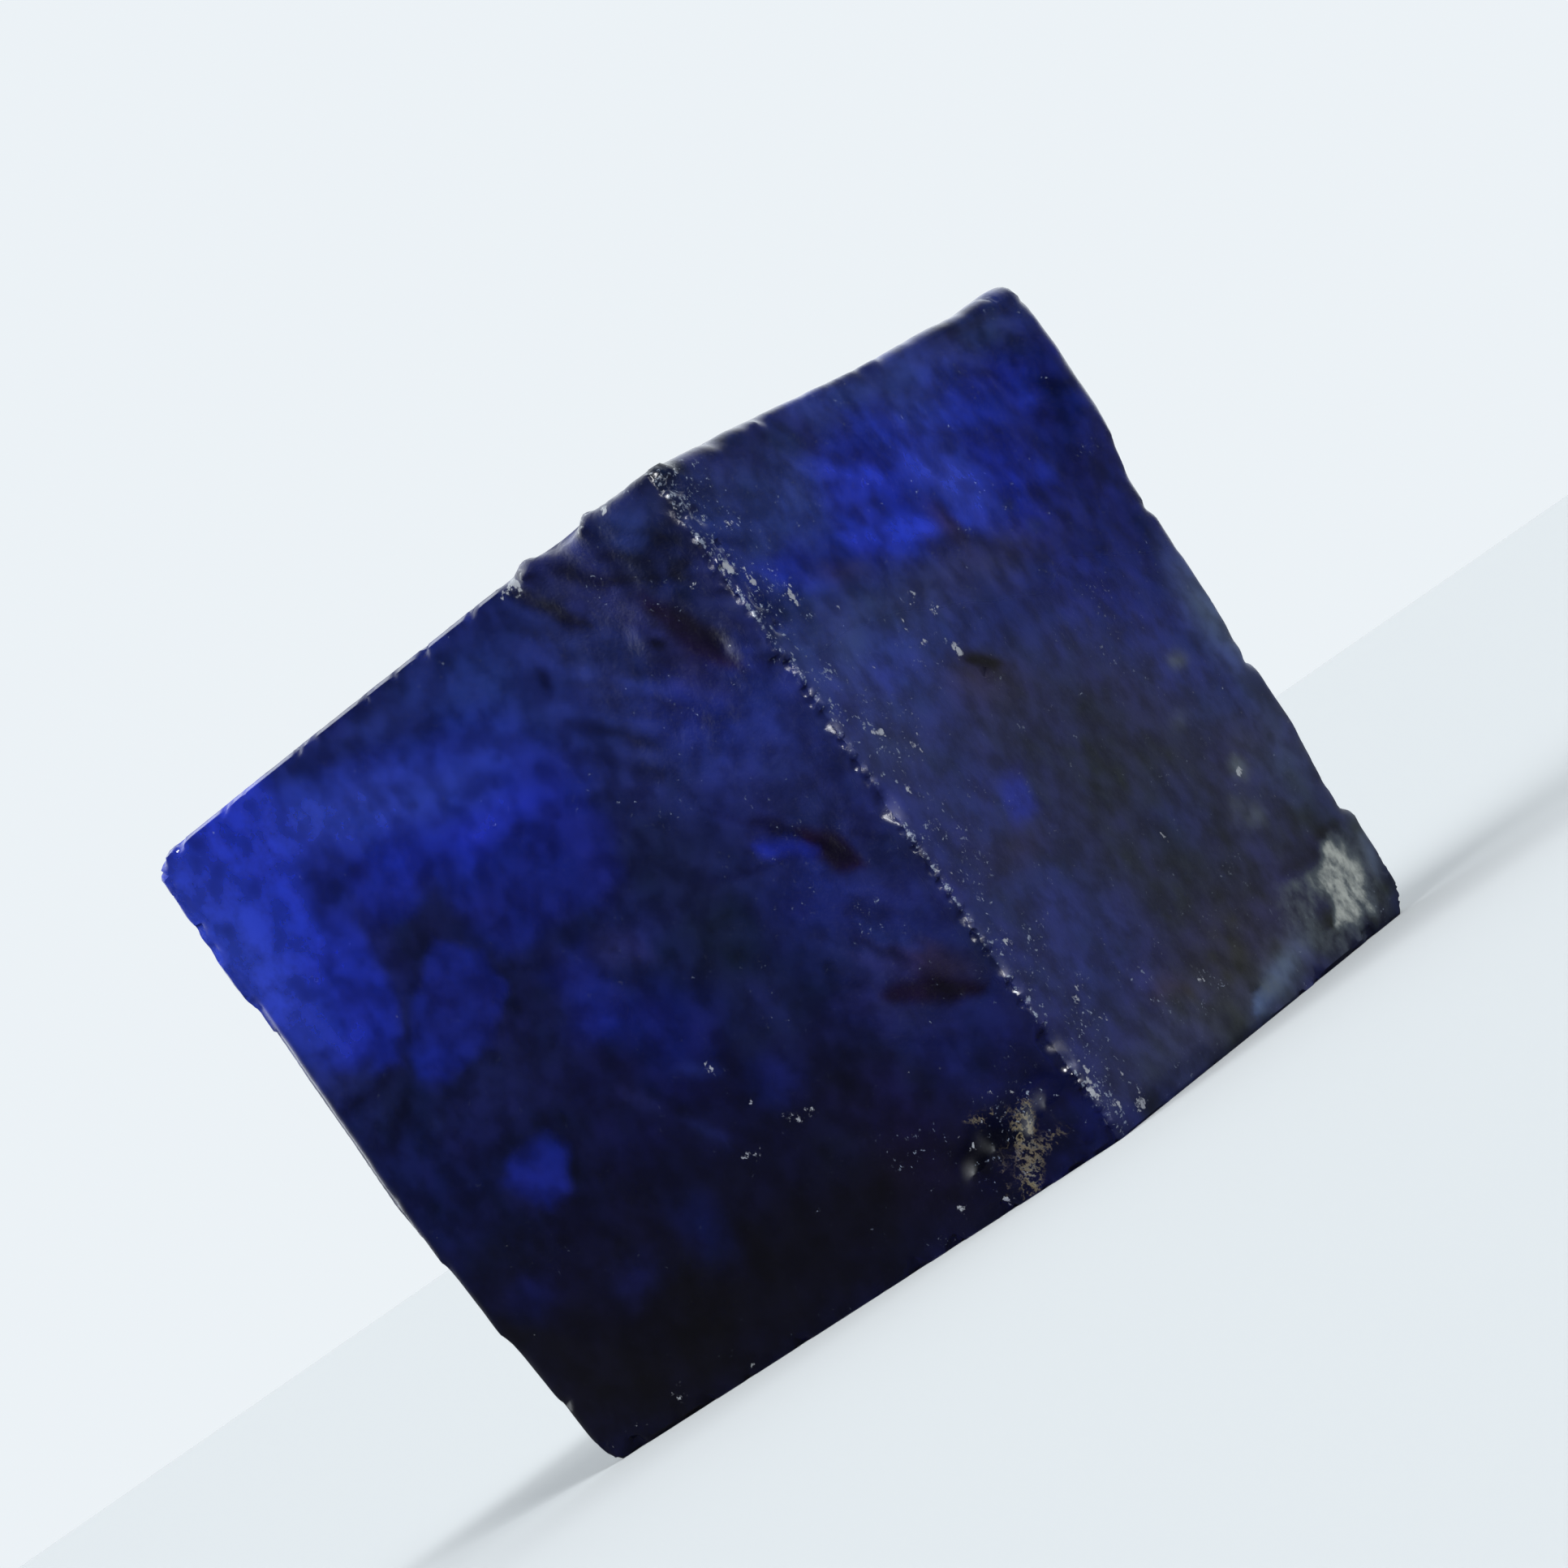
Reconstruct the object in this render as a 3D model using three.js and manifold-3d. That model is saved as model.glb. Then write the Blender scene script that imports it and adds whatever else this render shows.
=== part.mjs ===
// A rough blue sapphire: one blocky natural crystal, close to a cube, standing on its flat lower end.
// Millimetres, +Z up, origin at the middle of the footprint on the surface that it rests on.
// The crystal's two best faces are the front (-Y) and the right (+X); they meet in a chipped near edge.
import * as THREE from "three";
import { ConvexGeometry } from "three/addons/geometries/ConvexGeometry.js";
import { mergeVertices } from "three/addons/utils/BufferGeometryUtils.js";
import Module from "manifold-3d";

const wasm = await Module();
wasm.setup();

// Driving dimensions of the block.
const WIDTH = 24.95; // X
const DEPTH = 23.0; // Y
const HEIGHT = 24.25; // Z
const RIGHT = 12.3; // the near edge stands this far right of the features' own middle
const LEFT = RIGHT - WIDTH;
const FRONT = -DEPTH / 2;
const BACK = DEPTH / 2;
const UNDERCUT_HEIGHT = 14.0; // the left face leans inwards below this height
const UNDERCUT_LEAN = 0.105; // sideways travel for each millimetre down
const BACK_LEAN = 0.032;

// Growth and cleavage ledges.
const LAYER_REACH = 4; // how far a missing layer reaches out from its floor
const LEDGE_SLANT = 0.15; // how far a riser or tread strays from square

// Chips along the edges.
const FAINT_CHIP = { smallest: 0.12, largest: 0.4, bite: 0.4 };
const FINE_CHIP = { smallest: 0.25, largest: 0.75, bite: 0.45 };
const COARSE_CHIP = { smallest: 0.5, largest: 1.7, bite: 0.38 };
const EDGE_WEAR = 0.85; // depth of a worn flat, in sizes of the edge's smallest chip
const EDGE_TILT = 0.7;
const WORN_SPAN = 5; // breadth of the block that wears a flat along an edge
const GRID = 0.006; // the finished corners lie on a grid of this spacing
const CLEAVER = 60; // side of the block that cuts along a plane

const UP = new THREE.Vector3(0, 0, 1);
const blue = new THREE.MeshStandardMaterial({ color: 0x16236b, roughness: 0.35, metalness: 0 });

// Each face's own frame: u runs across it, v up it and n out of it, from a corner or centre at `at`.
const FACES = {
  front: { at: [0, FRONT, 0], u: [1, 0, 0], v: [0, 0, 1], n: [0, -1, 0] },
  right: { at: [RIGHT, 0, 0], u: [0, 1, 0], v: [0, 0, 1], n: [1, 0, 0] },
  back: { at: [0, BACK - 0.2, 0], u: [-1, 0, 0], v: [0, 0, 1], n: [0, 1, 0] },
  left: { at: [LEFT, 0, 0], u: [0, -1, 0], v: [0, 0, 1], n: [-1, 0, 0] },
  top: { at: [0, 0, HEIGHT], u: [1, 0, 0], v: [0, 1, 0], n: [0, 0, 1] },
};

// A repeatable stream of numbers from 0 to 1.
function randomStream(seed) {
  let state = seed;
  return () => {
    state = (state * 1664525 + 1013904223) % 4294967296;
    return state / 4294967296;
  };
}

const mix = (low, high, t) => low + (high - low) * t;

function solidOf(geometry) {
  const bare = geometry.clone();
  bare.deleteAttribute("normal");
  bare.deleteAttribute("uv");
  const merged = mergeVertices(bare, 1e-4);
  return new wasm.Manifold(
    new wasm.Mesh({
      numProp: 3,
      vertProperties: new Float32Array(merged.attributes.position.array),
      triVerts: new Uint32Array(merged.index.array),
    }),
  );
}

function geometryOf(solid) {
  const mesh = solid.getMesh();
  const geometry = new THREE.BufferGeometry();
  geometry.setAttribute("position", new THREE.BufferAttribute(mesh.vertProperties, 3));
  geometry.setIndex(new THREE.BufferAttribute(mesh.triVerts, 1));
  return geometry;
}

// The same surface with its corners on a fine grid, where slivers between near corners close up.
function snapped(geometry) {
  const exact = geometry.attributes.position;
  const onGrid = exact.array.map((value) => Math.round(value / GRID) * GRID);
  geometry.setAttribute("position", new THREE.BufferAttribute(onGrid, 3));
  const merged = mergeVertices(geometry, GRID / 4);
  const corners = merged.index.array;
  const kept = [];
  for (let index = 0; index < corners.length; index += 3) {
    const [a, b, c] = corners.slice(index, index + 3);
    if (a !== b && b !== c && c !== a) kept.push(a, b, c);
  }
  merged.setIndex(kept);
  merged.computeVertexNormals();
  return merged;
}

// The matrix that takes (u, v, n) on a face to the part's own X, Y and Z.
function frameOf(face) {
  const basis = new THREE.Matrix4().makeBasis(
    new THREE.Vector3(...face.u),
    new THREE.Vector3(...face.v),
    new THREE.Vector3(...face.n),
  );
  return basis.setPosition(...face.at);
}

// Takes away everything beyond a plane, as a crystal cleaves.
function cleave(stone, point, outward) {
  const normal = new THREE.Vector3(...outward).normalize();
  const beyond = new THREE.BoxGeometry(CLEAVER, CLEAVER, CLEAVER);
  beyond.translate(0, 0, CLEAVER / 2);
  beyond.applyQuaternion(new THREE.Quaternion().setFromUnitVectors(UP, normal));
  beyond.translate(...point);
  return stone.subtract(solidOf(beyond));
}

// The layer that is missing from a face inside an outline, `depth` deep: what is left stands as a ledge.
function missingLayer(face, outline, depth) {
  const shape = new THREE.Shape(outline.map(([u, v]) => new THREE.Vector2(u, v)));
  const layer = new THREE.ExtrudeGeometry(shape, { depth: LAYER_REACH, bevelEnabled: false });
  layer.translate(0, 0, -depth);
  layer.applyMatrix4(frameOf(face));
  return solidOf(layer);
}

// A stepped front from `start` to `end`: blocky risers and treads, `steps` of each, risers first.
function steppedFront(start, end, steps, unevenness, random) {
  const points = [start];
  let u = start[0];
  for (let step = 1; step <= steps; step++) {
    const along = step / steps;
    const wander = step < steps ? unevenness * (random() - 0.5) : 0;
    const v = mix(start[1], end[1], along) - wander;
    points.push([u + LEDGE_SLANT * random(), v]);
    u = mix(start[0], end[0], along) + wander;
    points.push([u, v + LEDGE_SLANT * (random() - 0.5)]);
  }
  return points;
}

// How far the stone's surface lies above a face's frame at (u, v).
function surfaceLevel(probe, face, [u, v]) {
  const normal = new THREE.Vector3(...face.n);
  const start = new THREE.Vector3(u, v, CLEAVER).applyMatrix4(frameOf(face));
  const [hit] = new THREE.Raycaster(start, normal.negate()).intersectObject(probe);
  return CLEAVER - hit.distance;
}

// A pit with flat sides, sunk into a face.
function pit(probe, face, place, radius, depth, sides, turn) {
  const cone = new THREE.ConeGeometry(radius, 2 * depth, sides);
  cone.rotateX(-Math.PI / 2);
  cone.rotateZ(turn);
  cone.translate(place[0], place[1], surfaceLevel(probe, face, place));
  cone.applyMatrix4(frameOf(face));
  return solidOf(cone);
}

// A boat-shaped fissure between two points of a face, deepest in its middle.
function fissure(probe, face, start, end, width, depth) {
  const from = new THREE.Vector3(...start, surfaceLevel(probe, face, start));
  const to = new THREE.Vector3(...end, surfaceLevel(probe, face, end));
  const middle = from.clone().lerp(to, 0.55);
  const side = to.clone().sub(from).normalize().cross(UP).multiplyScalar(width / 2);
  const lift = new THREE.Vector3(0, 0, width);
  const corners = [
    from.clone().add(lift),
    to.clone().add(lift),
    from,
    to,
    middle.clone().add(side),
    middle.clone().sub(side),
    middle.clone().add(side).add(lift),
    middle.clone().sub(side).add(lift),
    middle.clone().sub(new THREE.Vector3(0, 0, depth)),
  ];
  const wedge = new ConvexGeometry(corners);
  wedge.applyMatrix4(frameOf(face));
  return solidOf(wedge);
}

// An uneven lump or bite: an icosahedron, stretched and turned by chance.
function nodule(centre, radius, flatness, detail, random) {
  const lump = new THREE.IcosahedronGeometry(radius, detail);
  lump.scale(mix(0.85, 1.25, random()), mix(0.85, 1.2, random()), flatness);
  const turn = new THREE.Euler(Math.PI * random(), Math.PI * random(), Math.PI * random());
  lump.applyMatrix4(new THREE.Matrix4().makeRotationFromEuler(turn));
  lump.translate(...centre);
  return solidOf(lump);
}

// Chips bitten out of an edge, from `start` to `end`; `outward` points away from the stone there.
function chipsAlong(probe, start, end, outward, count, chip, random) {
  const away = new THREE.Vector3(...outward).normalize();
  const from = new THREE.Vector3(...start);
  const to = new THREE.Vector3(...end);
  const chips = [];
  for (let index = 0; index < count; index++) {
    const along = (index + 0.15 + 0.7 * random()) / count;
    const outside = from.clone().lerp(to, along).addScaledVector(away, WORN_SPAN);
    const [hit] = new THREE.Raycaster(outside, away.clone().negate()).intersectObject(probe);
    const radius = mix(chip.smallest, chip.largest, random() ** 2.2);
    const centre = hit.point.addScaledVector(away, radius * (1 - chip.bite));
    chips.push(nodule(centre.toArray(), radius, mix(0.7, 1.1, random()), 0, random));
  }
  return chips;
}

// A flat worn along an edge: it starts `depths[0]` deep at `start` and ends `depths[1]` deep at `end`.
function wornFlat(start, end, outward, depths) {
  const away = new THREE.Vector3(...outward).normalize();
  const from = new THREE.Vector3(...start).addScaledVector(away, -depths[0]);
  const to = new THREE.Vector3(...end).addScaledVector(away, -depths[1]);
  const run = to.clone().sub(from);
  const side = run.clone().cross(away).normalize();
  const out = side.clone().cross(run).normalize();
  const flat = new THREE.BoxGeometry(run.length(), WORN_SPAN, WORN_SPAN);
  flat.translate(run.length() / 2, 0, WORN_SPAN / 2);
  flat.applyMatrix4(new THREE.Matrix4().makeBasis(run.normalize(), side.negate(), out));
  flat.translate(...from.toArray());
  return solidOf(flat);
}

// Worn flats end to end along an edge, each of its own length, depth and tilt.
function wornFlats(start, end, outward, depth, random) {
  const from = new THREE.Vector3(...start);
  const to = new THREE.Vector3(...end);
  const flats = [];
  for (let along = -0.03; along < 1; ) {
    const next = Math.min(1.03, along + mix(0.14, 0.36, random()));
    const tilted = outward.map((axis) => axis + EDGE_TILT * (random() - 0.5));
    const depths = [depth * random(), depth * random()];
    const [first, last] = [along, next].map((t) => from.clone().lerp(to, t).toArray());
    flats.push(wornFlat(first, last, tilted, depths));
    along = next;
  }
  return flats;
}

// A shallow shell-shaped break: a large ball that dips `dip` into the stone at `centre`.
function shellBreak(centre, outward, radius, dip, turn) {
  const away = new THREE.Vector3(...outward).normalize();
  const ball = new THREE.IcosahedronGeometry(radius, Math.round(radius / 3));
  ball.rotateX(turn);
  ball.rotateZ(2 * turn);
  ball.translate(...away.multiplyScalar(radius - dip).toArray());
  ball.translate(...centre);
  return solidOf(ball);
}

// The block: its six main faces, each broken into a few flats that differ by a degree or two.
function cleavedBlock() {
  const box = new THREE.BoxGeometry(WIDTH, DEPTH, HEIGHT);
  box.translate((LEFT + RIGHT) / 2, 0, HEIGHT / 2);
  const flats = [
    [[LEFT, 0, UNDERCUT_HEIGHT], [-1, 0.012, -UNDERCUT_LEAN]],
    [[LEFT + 0.35, BACK, 9], [-1, 0.05, -0.02]],
    [[0, BACK, HEIGHT], [-0.004, 1, -BACK_LEAN]],
    [[-4, BACK - 0.55, 9], [-0.06, 1, -0.07]],
    [[0, FRONT, HEIGHT], [0.004, -1, -0.006]],
    [[-6, FRONT, 8], [-0.03, -1, -0.035]],
    [[9.5, FRONT, 6], [0.03, -1, -0.045]],
    [[RIGHT, -2, 19], [1, -0.006, 0.03]],
    [[RIGHT, 3, 9], [1, 0.03, -0.02]],
    [[0, FRONT + 2, HEIGHT], [-0.01, 0.03, 1]],
    [[-5, 4, HEIGHT - 0.1], [-0.045, 0.03, 1]],
    [[LEFT + 1.9, BACK - 0.3, 11], [-1, 1.15, 0.12]],
    [[LEFT + 0.9, 3, HEIGHT - 0.5], [-1, 0.18, 0.85]],
    [[RIGHT, BACK - 0.75, HEIGHT - 0.45], [0.1, 0.55, 1]],
    [[RIGHT, BACK - 0.1, HEIGHT - 1.4], [0.1, 1, 0.35]],
    [[RIGHT - 0.6, BACK - 1.6, 0], [0.5, 0.8, -0.6]],
  ];
  return flats.reduce((block, [point, outward]) => cleave(block, point, outward), solidOf(box));
}

// Layers that broke off or never grew, so that ledges stand between them. Each outline is a stepped
// front across the face, closed well outside it.
function missingLayers() {
  const random = randomStream(11);
  const { front, back, left, top } = FACES;
  const far = WIDTH;
  const edge = far / 2 + 2;
  const above = HEIGHT + 3;
  const below = -3;
  const layer = (face, depth, from, to, steps, unevenness, ...corners) =>
    missingLayer(face, [...steppedFront(from, to, steps, unevenness, random), ...corners], depth);
  return [
    // The front face is highest at its rough upper right.
    layer(front, 0.12, [5.6, above], [edge, 18.4], 6, 1.0, [edge, below], [-far, below], [-far, above]),
    layer(front, 0.24, [3.2, above], [edge, 16.2], 6, 1.3, [edge, below], [-far, below], [-far, above]),
    // The top goes down in two steps towards the back.
    layer(top, 0.14, [-edge, -6.2], [edge, 2.0], 6, 1.8, [far, far], [-far, far]),
    layer(top, 0.3, [-edge, -0.5], [edge, 9.2], 6, 2.2, [far, far], [-far, far]),
    // The back has three storeys, the highest the thickest.
    layer(back, 0.34, [-edge, 16.9], [edge, 19.8], 6, 1.6, [edge, below], [-edge, below]),
    layer(back, 0.52, [-edge, 5.2], [edge, 8.9], 6, 1.8, [edge, below], [-edge, below]),
    // The left face steps in once above its lean.
    layer(left, 0.2, [-edge, 14.6], [edge, 18.8], 6, 1.6, [edge, below], [-edge, below]),
  ];
}

// Fissures and etch pits, set on the surface that the stone has by then.
function fissuresAndPits(stone) {
  const random = randomStream(29);
  const probe = new THREE.Mesh(geometryOf(stone), blue);
  const { front, right, back, left, top } = FACES;
  const cracks = [
    // The open crack in the front face: two arms that meet in a point, and a shorter pair below it.
    [front, [7.9, 14.0], [10.8, 11.0], 0.42, 0.7],
    [front, [6.8, 12.7], [10.4, 11.7], 0.26, 0.45],
    [front, [7.9, 8.1], [9.7, 6.5], 0.3, 0.4],
    [front, [9.2, 6.6], [11.5, 6.1], 0.34, 0.5],
    // Grooves between the ridges of the rough ledge, and the hollow beside the near edge.
    [front, [5.8, 23.4], [8.1, 21.1], 0.34, 0.35],
    [front, [8.5, 23.8], [10.4, 22.2], 0.3, 0.3],
    [front, [9.7, 20.0], [11.2, 17.8], 0.7, 0.45],
    [right, [-4.4, 14.3], [-2.0, 13.5], 0.4, 0.45],
    [back, [-6.0, 9.8], [1.5, 4.4], 0.5, 0.8],
    [left, [-5.2, 20.5], [3.6, 14.8], 0.45, 0.8],
    [top, [-7.4, -6.2], [-1.2, -1.5], 0.5, 0.7],
  ];
  const cuts = cracks.map((crack) => fissure(probe, ...crack));

  // Etch pits, in loose clusters: face, middle of the cluster, its spread and the number of pits.
  const clusters = [
    [front, [7.2, 19.6], 3.4, 8],
    [front, [-9.9, 14.2], 1.6, 4],
    [right, [-4.6, 15.4], 3.2, 6],
    [right, [4.5, 4.5], 4.4, 5],
    [top, [3.5, 5.5], 5.0, 5],
    [back, [2.5, 16.5], 5.0, 5],
    [left, [2.5, 9.5], 4.6, 5],
  ];
  for (const [face, [u, v], spread, count] of clusters) {
    for (let index = 0; index < count; index++) {
      const place = [u + spread * (random() - 0.5), v + spread * (random() - 0.5)];
      const radius = mix(0.16, 0.42, random());
      cuts.push(pit(probe, face, place, radius, 0.42 * radius, 3, 2 * Math.PI * random()));
    }
  }
  return cuts;
}

// Shell-shaped breaks: along the top's right edge, down the back, and at the hidden corners.
function shellBreaks() {
  return [
    shellBreak([RIGHT, 2.8, HEIGHT], [0.25, 0, 1], 40, 0.32, 0.4),
    shellBreak([RIGHT - 0.4, BACK - 0.3, 15.6], [0.25, 1, 0], 9, 0.35, 1.1),
    shellBreak([RIGHT - 0.3, BACK - 0.8, 4.5], [0.3, 1, 0.1], 4, 0.5, 0.7),
    shellBreak([LEFT + 0.4, BACK - 2.4, 3.2], [-1, 0.9, -0.5], 9, 1.2, 0.2),
    shellBreak([-3.5, BACK - 0.5, HEIGHT], [0, 1, 0.8], 11, 0.6, 0.9),
    shellBreak([-1.6, BACK - 0.5, HEIGHT - 0.7], [0.2, 1, 0.7], 5, 0.45, 0.9),
    shellBreak([LEFT + 0.2, -3.4, HEIGHT - 0.3], [-1, 0, 1], 8, 0.35, 1.6),
    shellBreak([LEFT - 0.1, FRONT + 0.3, 9.6], [-1, -0.35, 0], 7, 0.28, 0.5),
  ];
}

// The near edge: a worn flat that fades out downwards, a notch, and a close row of small chips.
function nearEdgeCuts(stone) {
  const random = randomStream(47);
  const probe = new THREE.Mesh(geometryOf(stone), blue);
  const top = [RIGHT, FRONT, HEIGHT];
  const foot = [RIGHT, FRONT, 0];
  const outward = [1, -1, 0];
  const notch = new THREE.BoxGeometry(1.7, 1.2, 0.7);
  notch.rotateY(-0.12);
  notch.translate(8.0, FRONT, HEIGHT + 0.12);
  return [
    solidOf(notch),
    wornFlat([RIGHT, FRONT, 18.4], [RIGHT, FRONT, HEIGHT + 1], [1, -0.5, 0], [0.02, 0.5]),
    wornFlat([RIGHT, FRONT, -0.5], [RIGHT, FRONT, 3.2], [1, -0.9, -0.1], [0.34, 0.03]),
    ...chipsAlong(probe, foot, top, outward, 38, FINE_CHIP, random),
    ...chipsAlong(probe, [RIGHT, FRONT + 0.9, 18], [RIGHT, FRONT + 0.9, 23.6], outward, 8, FINE_CHIP, random),
  ];
}

// The other edges: worn flats end to end along each, then chips of the size given.
function edgeCuts(stone) {
  const random = randomStream(83);
  const probe = new THREE.Mesh(geometryOf(stone), blue);
  const back = BACK - 0.35;
  const foot = 0;
  const top = HEIGHT;
  const undercut = LEFT + UNDERCUT_LEAN * UNDERCUT_HEIGHT;
  const edges = [
    [[LEFT + 1, FRONT, top], [RIGHT - 3, FRONT, top], [0, -1, 1], 12, FAINT_CHIP],
    [[RIGHT, FRONT + 0.8, top], [RIGHT, back, top], [1, 0, 1], 12, FINE_CHIP],
    [[LEFT + 1.9, back, top], [RIGHT, back, top], [0, 1, 1], 8, COARSE_CHIP],
    [[LEFT + 0.5, FRONT, top], [LEFT + 0.5, back, top], [-1, 0, 1], 7, COARSE_CHIP],
    [[undercut, FRONT, foot], [RIGHT, FRONT, foot], [0, -1, -0.5], 12, FINE_CHIP],
    [[RIGHT, FRONT, foot], [RIGHT, back - 0.6, foot], [1, 0, -0.5], 11, FINE_CHIP],
    [[undercut, back - 0.7, foot], [RIGHT, back - 0.7, foot], [0, 1, -0.5], 7, COARSE_CHIP],
    [[undercut, FRONT, foot], [undercut, back, foot], [-1, 0, -0.5], 6, COARSE_CHIP],
    [[LEFT, FRONT, UNDERCUT_HEIGHT], [LEFT, FRONT, top - 1], [-1, -1, 0], 8, FAINT_CHIP],
    [[undercut, FRONT, foot], [LEFT, FRONT, UNDERCUT_HEIGHT], [-1, -1, 0], 8, FAINT_CHIP],
    [[RIGHT, back - 0.7, foot], [RIGHT, back, 17.5], [1, 1, 0], 7, FINE_CHIP],
    [[RIGHT, BACK, 17.5], [RIGHT, BACK, top - 1], [1, 1, 0], 4, FAINT_CHIP],
    [[LEFT + 1.2, back - 0.6, 2], [LEFT + 1.2, back - 0.3, top], [-1, 1, 0], 6, COARSE_CHIP],
  ];
  return edges.flatMap(([start, end, outward, count, chip]) => [
    ...wornFlats(start, end, outward, chip.smallest * EDGE_WEAR, random),
    ...chipsAlong(probe, start, end, outward, count, chip, random),
  ]);
}

// Lumps that stand a little proud: the bruised far corner, and the crust at the near edge's foot.
function lumps() {
  const random = randomStream(131);
  const grown = [];
  for (let index = 0; index < 16; index++) {
    const [x, y, z] = [mix(0.75, 1.7, random()), mix(1.2, 4.6, random()), mix(0.7, 3.3, random())];
    const radius = mix(0.45, 0.85, random());
    grown.push(nodule([RIGHT - x, BACK - y, z], radius, mix(0.7, 1, random()), 0, random));
  }
  for (let index = 0; index < 14; index++) {
    const centre = [RIGHT - mix(0.9, 5.2, random()), FRONT + 0.14, mix(0.5, 2.3, random())];
    grown.push(nodule(centre, mix(0.24, 0.45, random()), 0.6, 0, random));
  }
  grown.push(nodule([9.0, FRONT + 0.35, HEIGHT - 0.12], 0.5, 0.7, 0, random));
  grown.push(nodule([6.2, FRONT + 0.4, HEIGHT - 0.2], 0.6, 0.8, 0, random));
  return grown;
}

// The whole stone, moved so that its box stands centred on the origin.
function sapphireSolid() {
  const union = (solids) => wasm.Manifold.union(solids);
  let stone = cleavedBlock();
  stone = stone.subtract(union(missingLayers()));
  stone = cleave(stone, [9.2, FRONT - 0.3, HEIGHT + 0.2], [0.28, -1, 0.2]);
  stone = stone.subtract(union(shellBreaks()));
  stone = stone.add(union(lumps()));
  stone = stone.subtract(union(fissuresAndPits(stone)));
  stone = stone.subtract(union(nearEdgeCuts(stone)));
  stone = stone.subtract(union(edgeCuts(stone)));
  stone = cleave(stone, [0, 0, 0], [0, 0, -1]);
  // A chip can part a crumb from the stone, so only the largest body is kept.
  [stone] = stone.decompose().sort((first, second) => second.volume() - first.volume());
  const { min, max } = stone.boundingBox();
  return stone.translate([-(min[0] + max[0]) / 2, -(min[1] + max[1]) / 2, -min[2]]);
}

const sapphire = new THREE.Mesh(snapped(geometryOf(sapphireSolid())), blue);
sapphire.name = "sapphire";

const part = new THREE.Group();
part.add(sapphire);

export default part;
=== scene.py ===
"""The rough sapphire's looks: its weathered surface, its blue, and the light and camera that show it.

Lengths are in metres, as in the frame. The painting and the wear work in millimetres, for short numbers.
"""
import itertools
import math
from types import SimpleNamespace

import bmesh
import bpy
import numpy as np
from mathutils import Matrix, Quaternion, Vector
from mathutils.bvhtree import BVHTree
from mathutils.kdtree import KDTree


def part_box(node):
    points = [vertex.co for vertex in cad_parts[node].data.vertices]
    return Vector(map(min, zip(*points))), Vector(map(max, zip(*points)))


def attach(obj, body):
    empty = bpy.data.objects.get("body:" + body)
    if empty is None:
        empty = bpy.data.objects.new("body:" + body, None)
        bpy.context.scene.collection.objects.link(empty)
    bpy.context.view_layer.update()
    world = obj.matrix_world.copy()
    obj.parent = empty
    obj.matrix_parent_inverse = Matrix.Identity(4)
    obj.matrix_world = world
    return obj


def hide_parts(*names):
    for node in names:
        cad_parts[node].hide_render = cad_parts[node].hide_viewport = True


MM = 0.001

# The camera, as the photograph was taken: low, close to level, and rolled. Its angles are in degrees, and its
# lens and sensor in millimetres of film.
CAMERA_AIM = Vector((2.19, -0.48, 14.76)) * MM
CAMERA_DISTANCE = 186 * MM
CAMERA_AZIMUTH = 35.4
CAMERA_ELEVATION = -1.9
CAMERA_ROLL = 34.7
LENS = 133.3
SENSOR = 36
NEAREST_SEEN = 1 * MM
FARTHEST_SEEN = 20

# The stone's mesh: the remesh's voxel, and the bands along the two best faces and along the edge between them
# where it is cut finer. Its vertices snap to edges of the solid that bend by more than SHARP_EDGE degrees and
# are nearer than a share of the mesh's own edges, but none does within NEAR_BAND of the near edge. The
# solid's own vertices count as one within WELD, its sharp edges are sampled every EDGE_STEP, and the shading
# breaks where the surface bends by more than CREASE degrees.
VOXEL = 0.30 * MM
WELD = 0.001 * MM
FACE_BAND = 1.0 * MM
EDGE_BAND = 0.7 * MM
NEAR_BAND = 1.0 * MM
SHARP_EDGE = 28
EDGE_STEP = 0.05 * MM
SNAP_REACH = 0.55
CREASE = 38

# More millimetres than the stone measures in any direction.
FAR = 99.0

# Where the surface is worn soft: boxes in millimetres, each as its ranges of x, y and z, and the rounds of
# smoothing that each kind of place gets.
WORN_RELIEF = (
    ((3.5, 11.9), (-FAR, -8.0), (15.0, 23.9)),
    ((8.0, 11.7), (-FAR, -8.0), (5.4, 8.2)),
    ((8.0, 11.7), (-FAR, -8.0), (10.3, 13.8)),
    ((6.5, 12.2), (-FAR, -8.0), (0.6, 3.4)),
)
WORN_OUTLINE = (
    ((-FAR, -11.0), (-FAR, -9.0), (-FAR, 23.5)),
    ((10.8, FAR), (9.6, FAR), (1.5, 23.5)),
    ((10.8, FAR), (-10.2, FAR), (23.6, FAR)),
    ((5.0, 11.9), (-FAR, -9.6), (23.6, FAR)),
)
LARGEST_CHIPS = tuple(((11.4, FAR), (-FAR, -10.1), heights)
                      for heights in ((3.0, 4.1), (5.9, 6.7), (11.3, 12.6), (14.5, 15.4)))
HIDDEN_FACES = (((-FAR, 11.0), (-9.8, FAR), (0.8, FAR)),)
SOFTENINGS = ((WORN_RELIEF, 18), (WORN_OUTLINE, 7), (LARGEST_CHIPS, 5), (HIDDEN_FACES, 7))

# The near upright edge, where the front meets the right side, in millimetres: some heights, and its x or y
# there.
NEAR_EDGE_X = ((0, 17.5, 24.6), (12.47, 12.46, 12.27))
NEAR_EDGE_Y = ((17.4, 17.7, 21.6, 21.9), (-11.14, -11.26, -11.26, -11.32))

# The block's faces, and how far up or down a normal has to point on its top and foot.
LEFT, FRONT, FOOT, RIGHT, BACK, TOP = range(6)
LEVEL = 0.7

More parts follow.
